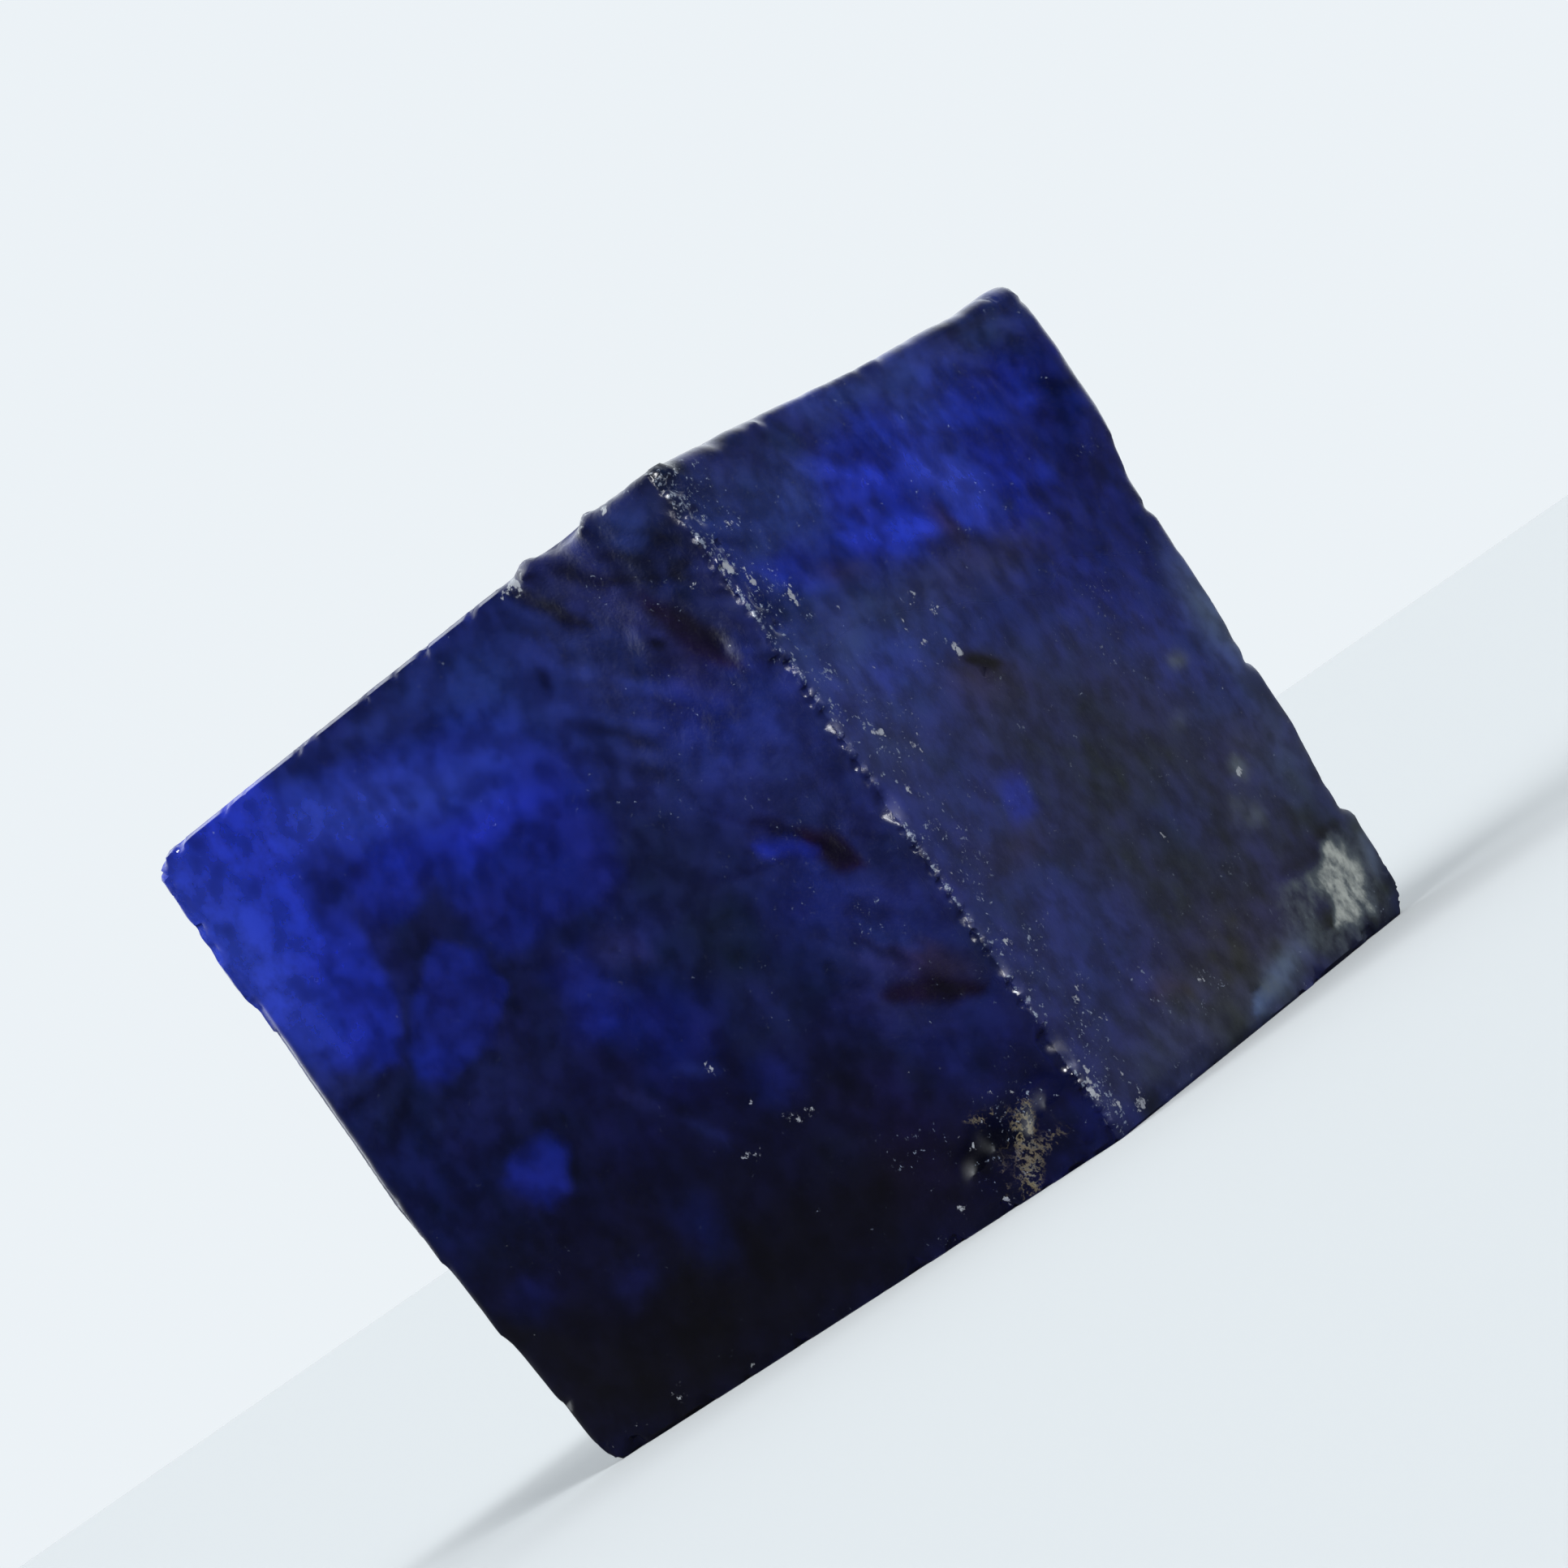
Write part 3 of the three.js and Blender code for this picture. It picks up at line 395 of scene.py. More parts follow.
RIGHT_ZONES = [
    # The haze and grey ovals over most of the right side are partly its frosted surface and partly a painted
    # sheen, the pale light that the frosted face catches.
    (HAZE, oval(-8, 12, 6, 9), 3.0, 0.8),
    (HAZE, oval(3, 14.4, 8, 3), 1.6, 0.8),
    (STEEL, oval(-8.8, 16.8, 3.2, 1.9, -8), 1.4, 0.75),
    (DEEP, oval(6.5, 15.5, 5, 2.6), 1.6, 0.6),
    (HAZE, oval(8.0, 10.6, 3.0, 3.0), 1.6, 0.9),
    (GREY, oval(1.0, 6.5, 7.5, 6.2, -8), 2.6, 0.9),
    (GREY, oval(3.0, 2.6, 12.0, 2.8), 1.6, 0.8),
    (HAZE, oval(-7.6, 4.8, 2.8, 3.0), 1.8, 0.6),
    (GREY, oval(-10.0, 8.0, 2.4, 8.0), 1.8, 0.45),
    (BROWN, oval(-1.0, 2.2, 5.0, 1.4), 1.2, 0.35),
    (GREEN_GREY, oval(-0.6, 10.6, 3.6, 2.0, 8), 1.4, 0.35),
    # The blue band along the right side's top is partly colour zoning and partly a painted glow of light
    # shining through from behind.
    (NAVY, oval(0, 22.0, 13.0, 3.8), 1.6, 0.5),
    (DEEP, oval(0.5, 20.6, 11.4, 3.8, 2), 1.4, 0.85),
    (MIDBLUE, oval(0.4, 20.6, 6.4, 3.0, -4), 1.4, 0.7),
    (SLATE, oval(-8.5, 22.6, 3.6, 1.6), 1.2, 0.6),
    (TEAL, oval(-2.5, 23.1, 6.5, 0.8), 0.9, 0.22),
    (TEAL, oval(-8.8, 20.4, 1.3, 1.8), 1.0, 0.25),
    (STEEL, oval(2.4, 21.8, 2.2, 1.3, 20), 0.9, 0.7),
    (COBALT, oval(4.2, 21.4, 2.4, 1.1), 0.9, 0.45),
    (BRIGHT, oval(3.0, 20.2, 1.8, 1.2), 1.0, 0.35),
    (STEEL, oval(-7.0, 21.3, 3.6, 1.2), 1.0, 0.4),
    (TEAL, oval(-5.4, 21.6, 1.4, 0.8), 0.8, 0.2),
    (STEEL, oval(-1.2, 23.6, 1.6, 0.6, -10), 0.6, 0.6),
    (TEAL, oval(4.0, 23.4, 3.4, 0.6), 0.7, 0.15),
    (TEAL, oval(9.6, 23.2, 1.8, 0.7), 0.8, 0.25),
    (COBALT, corners((-5.1, 20.6), (-4.4, 21.9), (-1.0, 22.4), (-0.3, 20.5), (-0.6, 18.4), (-2.4, 18.3),
                     (-4.7, 19.2)), 0.6, 0.5),
    (BRIGHT, corners((-5.0, 19.8), (-3.4, 20.1), (-0.9, 19.2), (-0.9, 18.2), (-2.6, 18.2)), 0.45, 0.7),
    (DEEP, stroke(-4.6, 20.1, -2.0, 20.0, 0.7), 0.35, 0.7),
    (DEEP, stroke(-3.8, 21.9, -0.9, 21.3, 0.8), 0.35, 0.6),
    (BRIGHT, stroke(-3.6, 21.3, -1.4, 20.7, 0.4), 0.25, 0.5),
    (DEEP, stroke(-0.9, 20.3, -0.6, 18.6, 0.5), 0.25, 0.5),
    (BRIGHT, corners((-0.7, 22.6), (1.0, 22.5), (1.7, 20.3), (0.4, 19.5), (0.0, 20.6)), 0.6, 0.9),
    (COBALT, corners((0.2, 20.0), (5.0, 20.1), (5.2, 18.3), (4.6, 16.8), (1.4, 17.7), (0.5, 18.3)), 0.5, 0.6),
    (ICE, oval(1.7, 19.3, 1.7, 1.2, -14), 0.7, 0.85),
    (NAVY, stroke(2.2, 20.3, 5.6, 20.1, 0.6), 0.4, 0.5),
    (COBALT, oval(4.6, 19.2, 1.2, 1.0), 0.6, 0.6),
    (BRIGHT, oval(-2.2, 20.6, 0.9, 0.4, -20), 0.4, 0.5),
    (MIDBLUE, oval(4.0, 17.3, 0.7, 0.7), 0.5, 0.7),
    (BROWN, oval(-0.1, 18.2, 0.4, 0.8, 10), 0.3, 0.6),
    (NAVY, oval(2.2, 21.4, 0.8, 1.1, 10), 0.5, 0.2),
    (MIDBLUE, corners((-9.9, 20.1), (-7.5, 20.3), (-7.2, 19.6), (-9.2, 19.1)), 0.35, 0.75),
    (DEEP, oval(-8.2, 18.7, 1.4, 0.5, -14), 0.4, 0.6),
    (BROWN, stroke(-8.2, 19.2, -5.2, 18.5, 0.5), 0.4, 0.45),
    (NAVY, oval(-3.9, 22.6, 0.8, 0.5, 0), 0.4, 0.7),
    (MIDBLUE, oval(7.9, 21.2, 1.0, 0.8), 0.6, 0.6),
    (BRIGHT, oval(8.3, 20.8, 0.5, 0.3, 20), 0.4, 0.5),
    (BRIGHT, oval(-8.4, 19.3, 0.9, 0.35, -20), 0.4, 0.5),
    (BRIGHT, oval(6.3, 18.3, 0.5, 0.4), 0.4, 0.5),
    (MIDBLUE, oval(10.6, 20.5, 1.0, 3.0), 0.9, 0.4),
    (NIGHT, oval(9.0, 20.2, 1.0, 0.5, 20), 0.5, 0.4),
    (NIGHT, oval(8.9, 18.0, 1.6, 0.6, 0), 0.6, 0.4),
    (NIGHT, oval(9.4, 15.2, 1.1, 1.0, 0), 0.6, 0.35),
    (NAVY, stroke(6.0, 15.4, 8.6, 15.2, 0.5), 0.4, 0.6),
    (MIDBLUE, oval(6.2, 17.8, 0.8, 0.9, 0), 0.6, 0.4),
    (HAZE, corners((-10.5, 17.8), (-6.5, 17.4), (-5.6, 16.2), (-9.5, 15.6)), 0.9, 0.7),
    (COBALT, oval(-6.5, 16.1, 1.1, 0.6, 15), 0.6, 0.35),
    (MIDBLUE, oval(-7.3, 15.2, 1.0, 0.5, -10), 0.5, 0.4),
    (BROWN, oval(-0.4, 16.8, 3.6, 0.6, -4), 0.8, 0.45),
    (TEAL, oval(-4.0, 17.0, 4.4, 1.0, -4), 1.0, 0.32),
    (TEAL, oval(-8.6, 16.6, 3.0, 1.4, -8), 1.2, 0.22),
    (TEAL, oval(-10.0, 13.2, 1.8, 1.0), 0.8, 0.2),
    (GREY, oval(-3.4, 12.6, 2.4, 1.6), 1.0, 0.7),
    (MIDBLUE, oval(4.4, 13.8, 3.0, 1.3), 1.0, 0.3),
    (MIDBLUE, oval(6.2, 15.4, 2.4, 1.1), 1.0, 0.3),
    (MIDBLUE, oval(-11.0, 10.5, 1.0, 4.5), 0.8, 0.25),
    (HAZE, oval(7.0, 9.2, 1.8, 1.2), 1.0, 0.4),
    (HAZE, oval(1.0, 7.0, 1.4, 0.9), 0.8, 0.45),
    (DEEP, oval(7.2, 13.8, 1.8, 1.0), 1.0, 0.6),
    (MIDBLUE, oval(7.0, 12.0, 2.6, 1.8), 1.2, 0.3),
    (COBALT, corners((-6.5, 9.6), (-6.0, 10.4), (-5.4, 11.0), (-4.5, 10.9), (-4.8, 9.7)), 0.3, 0.45),
    (NAVY, oval(-4.4, 10.9, 0.5, 0.35, -40), 0.25, 0.7),
    (BROWN, oval(-7.1, 8.9, 1.2, 0.5), 0.6, 0.45),
    (TEAL, oval(10.3, 11.4, 1.2, 2.0), 0.9, 1.0),
    (BROWN, oval(-3.4, 13.6, 1.5, 0.6, -12), 0.6, 0.55),
    (STAIN, stroke(-3.7, 14.4, -1.7, 13.6, 0.7), 0.2, 0.6),
    (INK, stroke(-3.5, 14.25, -2.0, 13.75, 0.5), 0.12, 0.95),
    (GREY, oval(0.8, 8.2, 1.6, 1.0), 1.0, 0.5),
    (BROWN, stroke(-5.6, 2.7, -3.8, 2.5, 0.6), 0.4, 0.6),
    (BROWN, oval(8.2, 7.4, 1.6, 0.6), 0.7, 0.4),
    (INK, stroke(4.4, 3.3, 9.4, 3.6, 0.5), 0.2, 0.75),
    (GREY, oval(6.4, 2.4, 1.6, 1.0, 10), 0.4, 0.6),
    (INK, oval(5.5, 1.6, 0.5, 0.4, 20), 0.3, 0.6),
    (INK, oval(8.9, 0.9, 1.0, 0.4, 30), 0.3, 0.6),
    (TEAL, stroke(9.6, 1.5, 10.5, 3.0, 0.6), 0.3, 0.8),
    (TEAL, oval(1.4, 0.8, 2.0, 0.4, 12), 0.4, 0.7),
    (LIGHT_BLUE, stroke(-1.3, 0.3, 0.9, 1.0, 0.6), 0.2, 0.95),
    (LIGHT_BLUE, oval(1.3, 1.0, 0.8, 0.3, 12), 0.3, 0.5),
    (FROST, oval(-3.5, 1.2, 4.5, 1.0), 1.0, 0.22),
    (FROST, oval(6.8, 10.95, 0.35, 0.18), 0.25, 0.8),
    (FROST, oval(6.0, 6.75, 0.4, 0.3, -20), 0.28, 1.0),
    (FROST, oval(5.2, 5.3, 0.5, 0.25, 10), 0.3, 0.5),
    (FROST, oval(4.5, 5.9, 0.45, 0.2, 10), 0.3, 0.45),
    (FROST, oval(4.8, 9.4, 0.4, 0.2, 10), 0.3, 0.35),
    (FROST, oval(9.9, 2.4, 0.5, 1.2, -25), 0.5, 0.5),
    (TEAL, oval(9.0, 6.4, 1.6, 1.6), 1.2, 0.4),
    (FROST, oval(2.2, 1.2, 1.8, 0.5, 10), 0.6, 0.5),
    (HAZE, oval(3.5, 17.95, 0.45, 0.18), 0.15, 0.9),
    (HAZE, oval(4.1, 16.95, 0.35, 0.2), 0.15, 0.9),
    (INK, stroke(-1.0, 0.95, 0.6, 1.1, 0.3), 0.15, 0.7),
]

# Pale grains that sit on the faces: where, their radius and their brightness.
FRONT_GRAINS = [
    (0.95, 5.7, 0.28, 0.7), (1.4, 5.65, 0.24, 0.7), (1.8, 8.65, 0.2, 0.65), (2.4, 7.1, 0.2, 0.65),
    (3.2, 6.1, 0.28, 0.7), (3.6, 5.9, 0.2, 0.6), (4.1, 5.8, 0.2, 0.6), (5.75, 3.25, 0.16, 0.7),
    (6.55, 0.85, 0.24, 1.0), (8.2, 0.3, 0.26, 0.9), (-2.15, 2.7, 0.26, 0.5), (-6.6, 0.7, 0.4, 0.5),
    (-3.4, 0.35, 0.24, 0.6), (-8.8, 0.4, 0.3, 0.4), (7.8, 5.1, 0.14, 0.7), (8.05, 2.7, 0.14, 0.8),
    (8.3, 2.2, 0.14, 0.8), (9.1, 2.7, 0.14, 0.9), (4.1, 4.85, 0.16, 0.5), (-4.9, 4.25, 0.2, 0.4),
    (11.6, 20.7, 0.22, 1.0), (9.8, 16.9, 0.16, 0.7), (10.5, 24.1, 0.16, 0.9), (6.1, 24.0, 0.5, 0.9),
    (5.6, 23.8, 0.3, 0.7), (6.6, 24.2, 0.3, 0.9), (11.5, 18.5, 0.2, 0.7), (10.0, 3.3, 0.16, 0.7),
    (10.6, 3.0, 0.16, 0.7), (9.5, 24.5, 0.5, 1.0),
]

RIGHT_GRAINS = [
    (-0.1, 6.5, 0.3, 0.55), (-2.95, 2.35, 0.26, 0.8), (-3.65, 14.85, 0.3, 0.95), (6.0, 6.8, 0.25, 0.8),
    (6.8, 10.95, 0.2, 0.6), (3.5, 17.95, 0.25, 0.5),
    (-3.4, 16.25, 0.36, 0.8), (-4.0, 17.0, 0.3, 0.7), (-4.6, 16.75, 0.3, 0.6), (-5.2, 16.5, 0.3, 0.75),
    (-5.0, 15.55, 0.28, 0.75), (-2.0, 15.9, 0.24, 0.45), (-10.1, 16.0, 0.18, 0.9), (-8.0, 15.75, 0.22, 0.6),
    (-10.15, 12.05, 0.2, 0.95), (-9.6, 13.95, 0.22, 0.9),
    (-9.95, 14.1, 0.24, 0.8), (-8.5, 13.05, 0.32, 0.7), (-7.9, 13.4, 0.28, 0.6), (-3.0, 11.7, 0.24, 0.4),
    (-6.6, 5.8, 0.2, 0.6), (-6.2, 4.95, 0.24, 0.5), (-9.2, 4.15, 0.2, 0.8), (-8.8, 4.35, 0.18, 0.7),
    (-8.5, 3.2, 0.24, 0.5), (-10.4, 6.7, 0.24, 0.9), (-9.4, 18.7, 0.4, 0.8), (-9.3, 19.1, 0.3, 0.7),
    (-7.8, 17.7, 0.26, 0.4), (-9.4, 1.6, 0.2, 0.8), (-9.3, 0.6, 0.3, 1.0), (-9.6, 0.4, 0.25, 1.0),
    (-11.1, 23.9, 0.3, 0.8), (-10.3, 23.85, 0.24, 0.9), (-11.5, 23.0, 0.3, 1.0), (-11.1, 20.5, 0.3, 1.0),
    (-10.6, 20.3, 0.24, 0.7), (-10.5, 19.8, 0.2, 0.8), (-11.3, 1.7, 0.6, 1.0), (-10.9, 2.4, 0.24, 0.8),
    (-10.5, 0.9, 0.24, 0.8), (-11.5, 0.6, 0.35, 0.8), (-9.7, 21.6, 0.24, 0.5), (-11.0, 9.6, 0.3, 0.6),
]

# The pale bruise at the right side's foot, with its dark gaps, and the earthy crust at the front's. Each part
# has its strength, its outline, and how far outside that it starts and is full.
BRUISE = [
    (0.95, stroke(5.2, 1.35, 8.4, 1.1, 0.9), 0.5, -0.4),
    (1.05, oval(7.3, 2.1, 1.7, 1.3, 25), 1.0, -1.0),
    (0.55, oval(5.0, 2.8, 0.9, 0.4, 10), 0.6, -0.5),
    (0.52, oval(6.4, 2.0, 3.2, 1.7), 1.0, -1.0),
    (0.5, oval(0.1, 0.7, 0.8, 0.3, 15), 0.5, -0.3),
]
BRUISE_GAPS = [
    (1.0, stroke(4.2, 3.3, 9.2, 3.8, 0.6), 0.3, -0.15),
    (1.0, oval(5.5, 1.7, 0.45, 0.35, 20), 0.3, -0.15),
]
CRUST = [
    (1.0, stroke(8.9, 0.2, 11.0, 2.5, 1.0), 0.5, -0.4),
    (0.9, stroke(9.6, 1.3, 11.6, 1.1, 0.6), 0.4, -0.3),
    (0.8, stroke(8.6, 3.0, 10.3, 2.5, 0.4), 0.4, -0.3),
    (0.6, stroke(8.0, 0.5, 9.4, 1.9, 0.3), 0.4, -0.3),
]


def laid(under, colour, part):
    """Colours that another colour covers by the given part."""
    return under * (1 - part[:, None]) + colour * part[:, None]


def painted(under, u, v, warp, zones):
    """Colours with the zones laid over them in turn, their borders wandering by the warp."""
    colours = under
    for colour, outside, soft, cover in zones:
        off = outside(u + warp[0], v + warp[1])
        colours = laid(colours, colour, cover * smooth(BLUR * soft, -BLUR * soft, off))
    return colours


def strongest(u, v, marks):
    """How strongly the marks show at each point, where the strongest one counts."""
    return np.maximum.reduce([strength * smooth(start, full, outside(u, v))
                              for strength, outside, start, full in marks])


def grained(u, v, grains):
    """How near each point is to a grain's middle: 0 outside all of them, up to the grain's brightness."""
    most = np.zeros(len(u))
    for grain_u, grain_v, radius, brightness in grains:
        off = np.hypot(u - grain_u, v - grain_v) / radius
        most = np.maximum(most, brightness * smooth(1.6, 0.2, off))
    return most


def remeshed(node):
    """The stone's own object, with an even mesh of the CAD solid."""
    piece = bpy.data.objects.new("stone", node.data.copy())
    bpy.context.scene.collection.objects.link(piece)
    remesh = piece.modifiers.new("Remesh", "REMESH")
    remesh.mode = "VOXEL"
    remesh.voxel_size = VOXEL
    graph = bpy.context.evaluated_depsgraph_get()
    mesh = bpy.data.meshes.new_from_object(piece.evaluated_get(graph))
    piece.modifiers.clear()
    piece.data = mesh
    return piece


def meshed(node):
    """The stone's mesh: finer where the detail is fine, and fitted to the CAD solid and its sharp edges."""
    piece = remeshed(node)
    surface = bmesh.new()
    surface.from_mesh(node.data)
    bmesh.ops.remove_doubles(surface, verts=surface.verts, dist=WELD)
    solid = BVHTree.FromBMesh(surface)
    brinks = sharp_edges(surface)
    surface.free()

    surface = bmesh.new()
    surface.from_mesh(piece.data)
    low, high = (Vector(corner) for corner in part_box("sapphire"))
    refine(surface, lambda p: p.y < low.y + FACE_BAND or p.x > high.x - FACE_BAND)
    refine(surface, lambda p: p.x > high.x - EDGE_BAND and p.y < low.y + EDGE_BAND)
    reach = {vertex: SNAP_REACH * min(edge.calc_length() for edge in vertex.link_edges)
             for vertex in surface.verts}
    for vertex in surface.verts:
        vertex.co = solid.find_nearest(vertex.co)[0]
        spot, _, gap = brinks.find(vertex.co)
        if gap < reach[vertex] and max(high.x - vertex.co.x, vertex.co.y - low.y) > NEAR_BAND:
            vertex.co = spot
    for boxes, rounds in SOFTENINGS:
        soften(surface, boxes, rounds)
    surface.to_mesh(piece.data)
    surface.free()
    return piece


def sharp_edges(surface):
    """Points closely spaced along the solid's sharp edges."""
    spots = []
    for edge in surface.edges:
        if edge.calc_face_angle(0) > math.radians(SHARP_EDGE):
            start, end = (vertex.co for vertex in edge.verts)
            count = max(1, round(edge.calc_length() / EDGE_STEP))
            spots += [start.lerp(end, step / count) for step in range(count + 1)]
    tree = KDTree(len(spots))
    for index, spot in enumerate(spots):
        tree.insert(spot, index)
    tree.balance()
    return tree


def refine(surface, near):
    """Cuts each face that is near the detail into four."""
    chosen = {edge for face in surface.faces if near(face.calc_center_median()) for edge in face.edges}
    bmesh.ops.subdivide_edges(surface, edges=list(chosen), cuts=1, use_grid_fill=True)


def within(spot, boxes):
    """Whether a spot, in millimetres, is in one of the boxes."""
    return any(all(low < value < high for value, (low, high) in zip(spot, box)) for box in boxes)


def soften(surface, boxes, rounds):
    """Smooths the parts of the surface that are in the boxes."""
    soft = [vertex for vertex in surface.verts if within(vertex.co / MM, boxes)]
    for _ in range(rounds):
        bmesh.ops.smooth_vert(surface, verts=soft, factor=0.5,
                              use_axis_x=True, use_axis_y=True, use_axis_z=True)


def vectors(mesh, name):
    """A vector for each of the mesh's vertices."""
    values = np.empty(len(mesh.vertices) * 3, dtype=np.float32)
    mesh.vertices.foreach_get(name, values)
    return values.reshape(-1, 3).astype(float)


def located(points, normals):
    """Where each point lies on the block: the face that it is on, and how far it is from faces and edges."""
    low, high = (np.array(corner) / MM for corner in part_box("sapphire"))
    x, y, z = points.T
    corner_x, corner_y = np.interp(z, *NEAR_EDGE_X), np.interp(z, *NEAR_EDGE_Y)
    gaps = np.abs(np.stack([x - low[0], y - corner_y, z, corner_x - x, high[1] - y, high[2] - z], axis=1))
    nearest = gaps.copy()
    nearest[normals[:, 2] > -LEVEL, FOOT] = FAR
    side = np.argmin(nearest, axis=1)
    front, right = side == FRONT, side == RIGHT
    rugged = front * smooth(3.5, 7.0, x) * smooth(13.0, 18.0, z)
    rugged = np.maximum(rugged, front * 0.7 * smooth(6.0, 9.0, x) * smooth(4.0, 7.0, z))
    return SimpleNamespace(
        x=x, y=y, z=z, gaps=gaps, side=side, front=front, right=right,
        edge=np.sort(gaps, axis=1)[:, 1],
        near_edge=np.hypot(x - corner_x, y - corner_y),
        hidden=smooth(0.5, 2.5, np.minimum(gaps[:, FRONT], gaps[:, RIGHT])),
        rugged=np.where(right, 0.3, np.where(front, rugged, 0.6)))


def worn(points, normals, at):
    """The points after wear: relief all over, chipped edges, full corners, and hollows on hidden faces."""
    along, across = (at.x - at.z) / math.sqrt(2), (at.x + at.z) / math.sqrt(2)
    ridges = noise(np.stack([along / 2.2, at.y / 9.0, across / 0.55], axis=1), 1, 41)
    ridges += 0.7 * noise(np.stack([along / 0.9, at.y / 9.0, across / 0.26], axis=1), 1, 42)
    steps = noise(points, 2.6, 11) + 0.5 * noise(points, 0.9, 12)
    terrace = np.round(steps * TERRACE_STEPS) / TERRACE_STEPS
    wave = noise(points, 4.5, 13)
    grain = noise(points, 0.45, 14)
    ragged = smooth(0.7, 0.0, at.edge) * (noise(points, 0.5, 15) + noise(points, 0.22, 16) - 0.6)
    chipped = smooth(0.4, 0.0, at.near_edge) * (noise(points, 0.24, 17) + noise(points, 0.13, 18) - 0.5)
    hollows = np.abs(noise(points, 4.2, 81)) + 0.5 * np.abs(noise(points, 1.7, 82))
    hollows += 0.2 * noise(points, 0.8, 83)
    far_corner = smooth(8.5, 11.5, at.x) * smooth(7.5, 10.8, at.y)

    move = WAVE * wave + at.rugged * (RIDGE * ridges * at.front + TERRACE * terrace + GRAIN * grain)
    move += RAGGED_EDGE * ragged + CHIPPED_EDGE * chipped + LEFT_BULGE * (at.side == LEFT)
    move += (CORNER_BULGE + TOP_CORNER_BULGE * smooth(16.5, 19.5, at.z)) * far_corner
    move += TOP_RISE * np.clip(normals[:, 2], 0, 1) * smooth(0.0, 8.0, at.y) * smooth(3.0, 9.0, at.x)
    flatter = 1 - 0.7 * (normals[:, 2] > LEVEL)
    move += at.hidden * flatter * (HOLLOW * hollows - HOLLOW_LEVEL + HIDDEN_TERRACE * terrace)
    move *= smooth(0.0, 0.6, at.z)
    wander = LEDGE_WANDER * noise(points, 2.6, 84) + LEDGE_JITTER * noise(points, 0.9, 85)
    wander *= at.hidden * smooth(0.5, 3.0, at.z) * smooth(0.4, 2.5, at.gaps[:, TOP])
    points = points + normals * move[:, None]
    points[:, 2] += wander
    return points


def hidden_colours(points, under):
    """The faces that the picture doesn't show: the same blues in patches, with grey veils and dark cracks."""
    colours = under
    drift = noise(points, 1.2, 34) + 0.5 * noise(points, 0.5, 35)
    for colour, spacing, seed, start, full, cover in HIDDEN_PATCHES:
        patch = noise(points * (1, 1, 0.7), spacing, seed) + 0.3 * drift
        colours = laid(colours, colour, cover * smooth(start, full, patch))
    crack = np.abs(noise(points * (1, 1, 1.6), 3.6, 44) + 0.12 * drift)
    some = smooth(-0.2, 0.4, noise(points, 2.7, 45))
    return laid(colours, NIGHT, 0.7 * (smooth(0.05, 0.015, crack) * some))


def front_colours(at, warp, under):
    """The front's zones, with streaks: upright on the left, flat in the middle, slanting on the right."""
    colours = painted(under, at.x + FRONT_SHIFT, at.z, warp, FRONT_ZONES)
    x, z = at.x, at.z
    left_part, upper_part, right_part = smooth(-5.5, -7.5, x), smooth(15.5, 18.0, z), smooth(3.0, 5.5, x)
    shade = 0.2 * left_part * streaks(x, z, 84, 4.0, 0.8, 71)
    shade += 0.22 * (1 - left_part) * (1 - right_part) * streaks(x, z, -14, 3.6, 0.6, 72)
    slanting = 0.34 * streaks(x, z, -42, 2.4, 0.45, 73) + 0.26 * streaks(x, z, -30, 1.1, 0.25, 74)
    shade += right_part * slanting
    return colours * (1 + (0.4 + 0.6 * upper_part[:, None]) * shade[:, None])


def right_colours(at, warp, under):
    """The right side's zones, with flat streaks in its blue band and faint slanting ones all over."""
    colours = painted(under, at.y + RIGHT_SHIFT, at.z, warp, RIGHT_ZONES)
    shade = 0.34 * smooth(15.5, 19.0, at.z) * streaks(at.y, at.z, -16, 3.0, 0.55, 75)
    shade += 0.1 * streaks(at.y, at.z, -50, 1.8, 0.5, 76)
    return colours * (1 + shade[:, None])


def coloured(points, at, warp):
    """The stone's paint. That of the two best faces runs on round their edges."""
    under = laid(NAVY, DEEP, smooth(-0.6, 0.9, noise(points, 3.4, 31) + 0.4 * noise(points, 1.1, 32)))
    front, right = front_colours(at, warp, under), right_colours(at, warp, under)
    hidden = hidden_colours(points, under)
    for seen, face in ((front, FRONT), (right, RIGHT)):
        hidden = laid(hidden, seen, smooth(3.0, 0.5, at.gaps[:, face]))
    colours = np.where(at.front[:, None], front, np.where(at.right[:, None], right, hidden))
    hue = noise(points, 1.1, 61) + 0.7 * noise(points, 0.45, 62) + 0.6 * noise(points, 2.8, 63)
    depth = np.minimum(colours[:, 2:] / NAVY[2], 1)
    colours += HUE_SHIFT * (1 + at.right[:, None]) * depth * hue[:, None] * (VIOLET - GREEN_GREY)
    return np.maximum(colours, INK)


def speckled(points, at):
    """How thickly pale specks lie: a chain of painted glints on the near edge's tiny chips, a strip of dust
    beside it, and dust over the faces.
    """
    ends = np.maximum(smooth(17.5, 19.0, at.z), smooth(3.5, 1.5, at.z))
    # The chain is painted glints on the near edge's tiny chips.
    glint_chain = smooth(0.34 + 0.12 * ends, 0.06, at.near_edge) * (0.85 + 0.3 * noise(points, 1.3, 51))
    glint_chain *= 0.45 + 0.55 * at.right
    strip = at.right * smooth(1.7, 0.5, at.near_edge) * (0.15 + 0.34 * ends + 0.24 * noise(points, 0.9, 52))
    specks = at.right * (0.08 + 0.22 * smooth(4.5, 0.8, at.near_edge) + 0.22 * noise(points, 0.9, 53))
    specks += at.front * (0.12 * at.rugged + 0.14 * smooth(-2.0, 2.0, at.x) * noise(points, 1.6, 54))
    crusty = smooth(1.5, -1.5, oval(8.6, 1.8, 3.0, 1.7)(at.x, at.z))
    specks += at.front * 0.2 * crusty * (1 + noise(points, 0.8, 56))
    specks += at.hidden * (0.35 * (0.3 + noise(points, 1.3, 55)) + 0.3 * smooth(0.6, 0.1, at.edge))
    return np.maximum.reduce([glint_chain, strip, specks])


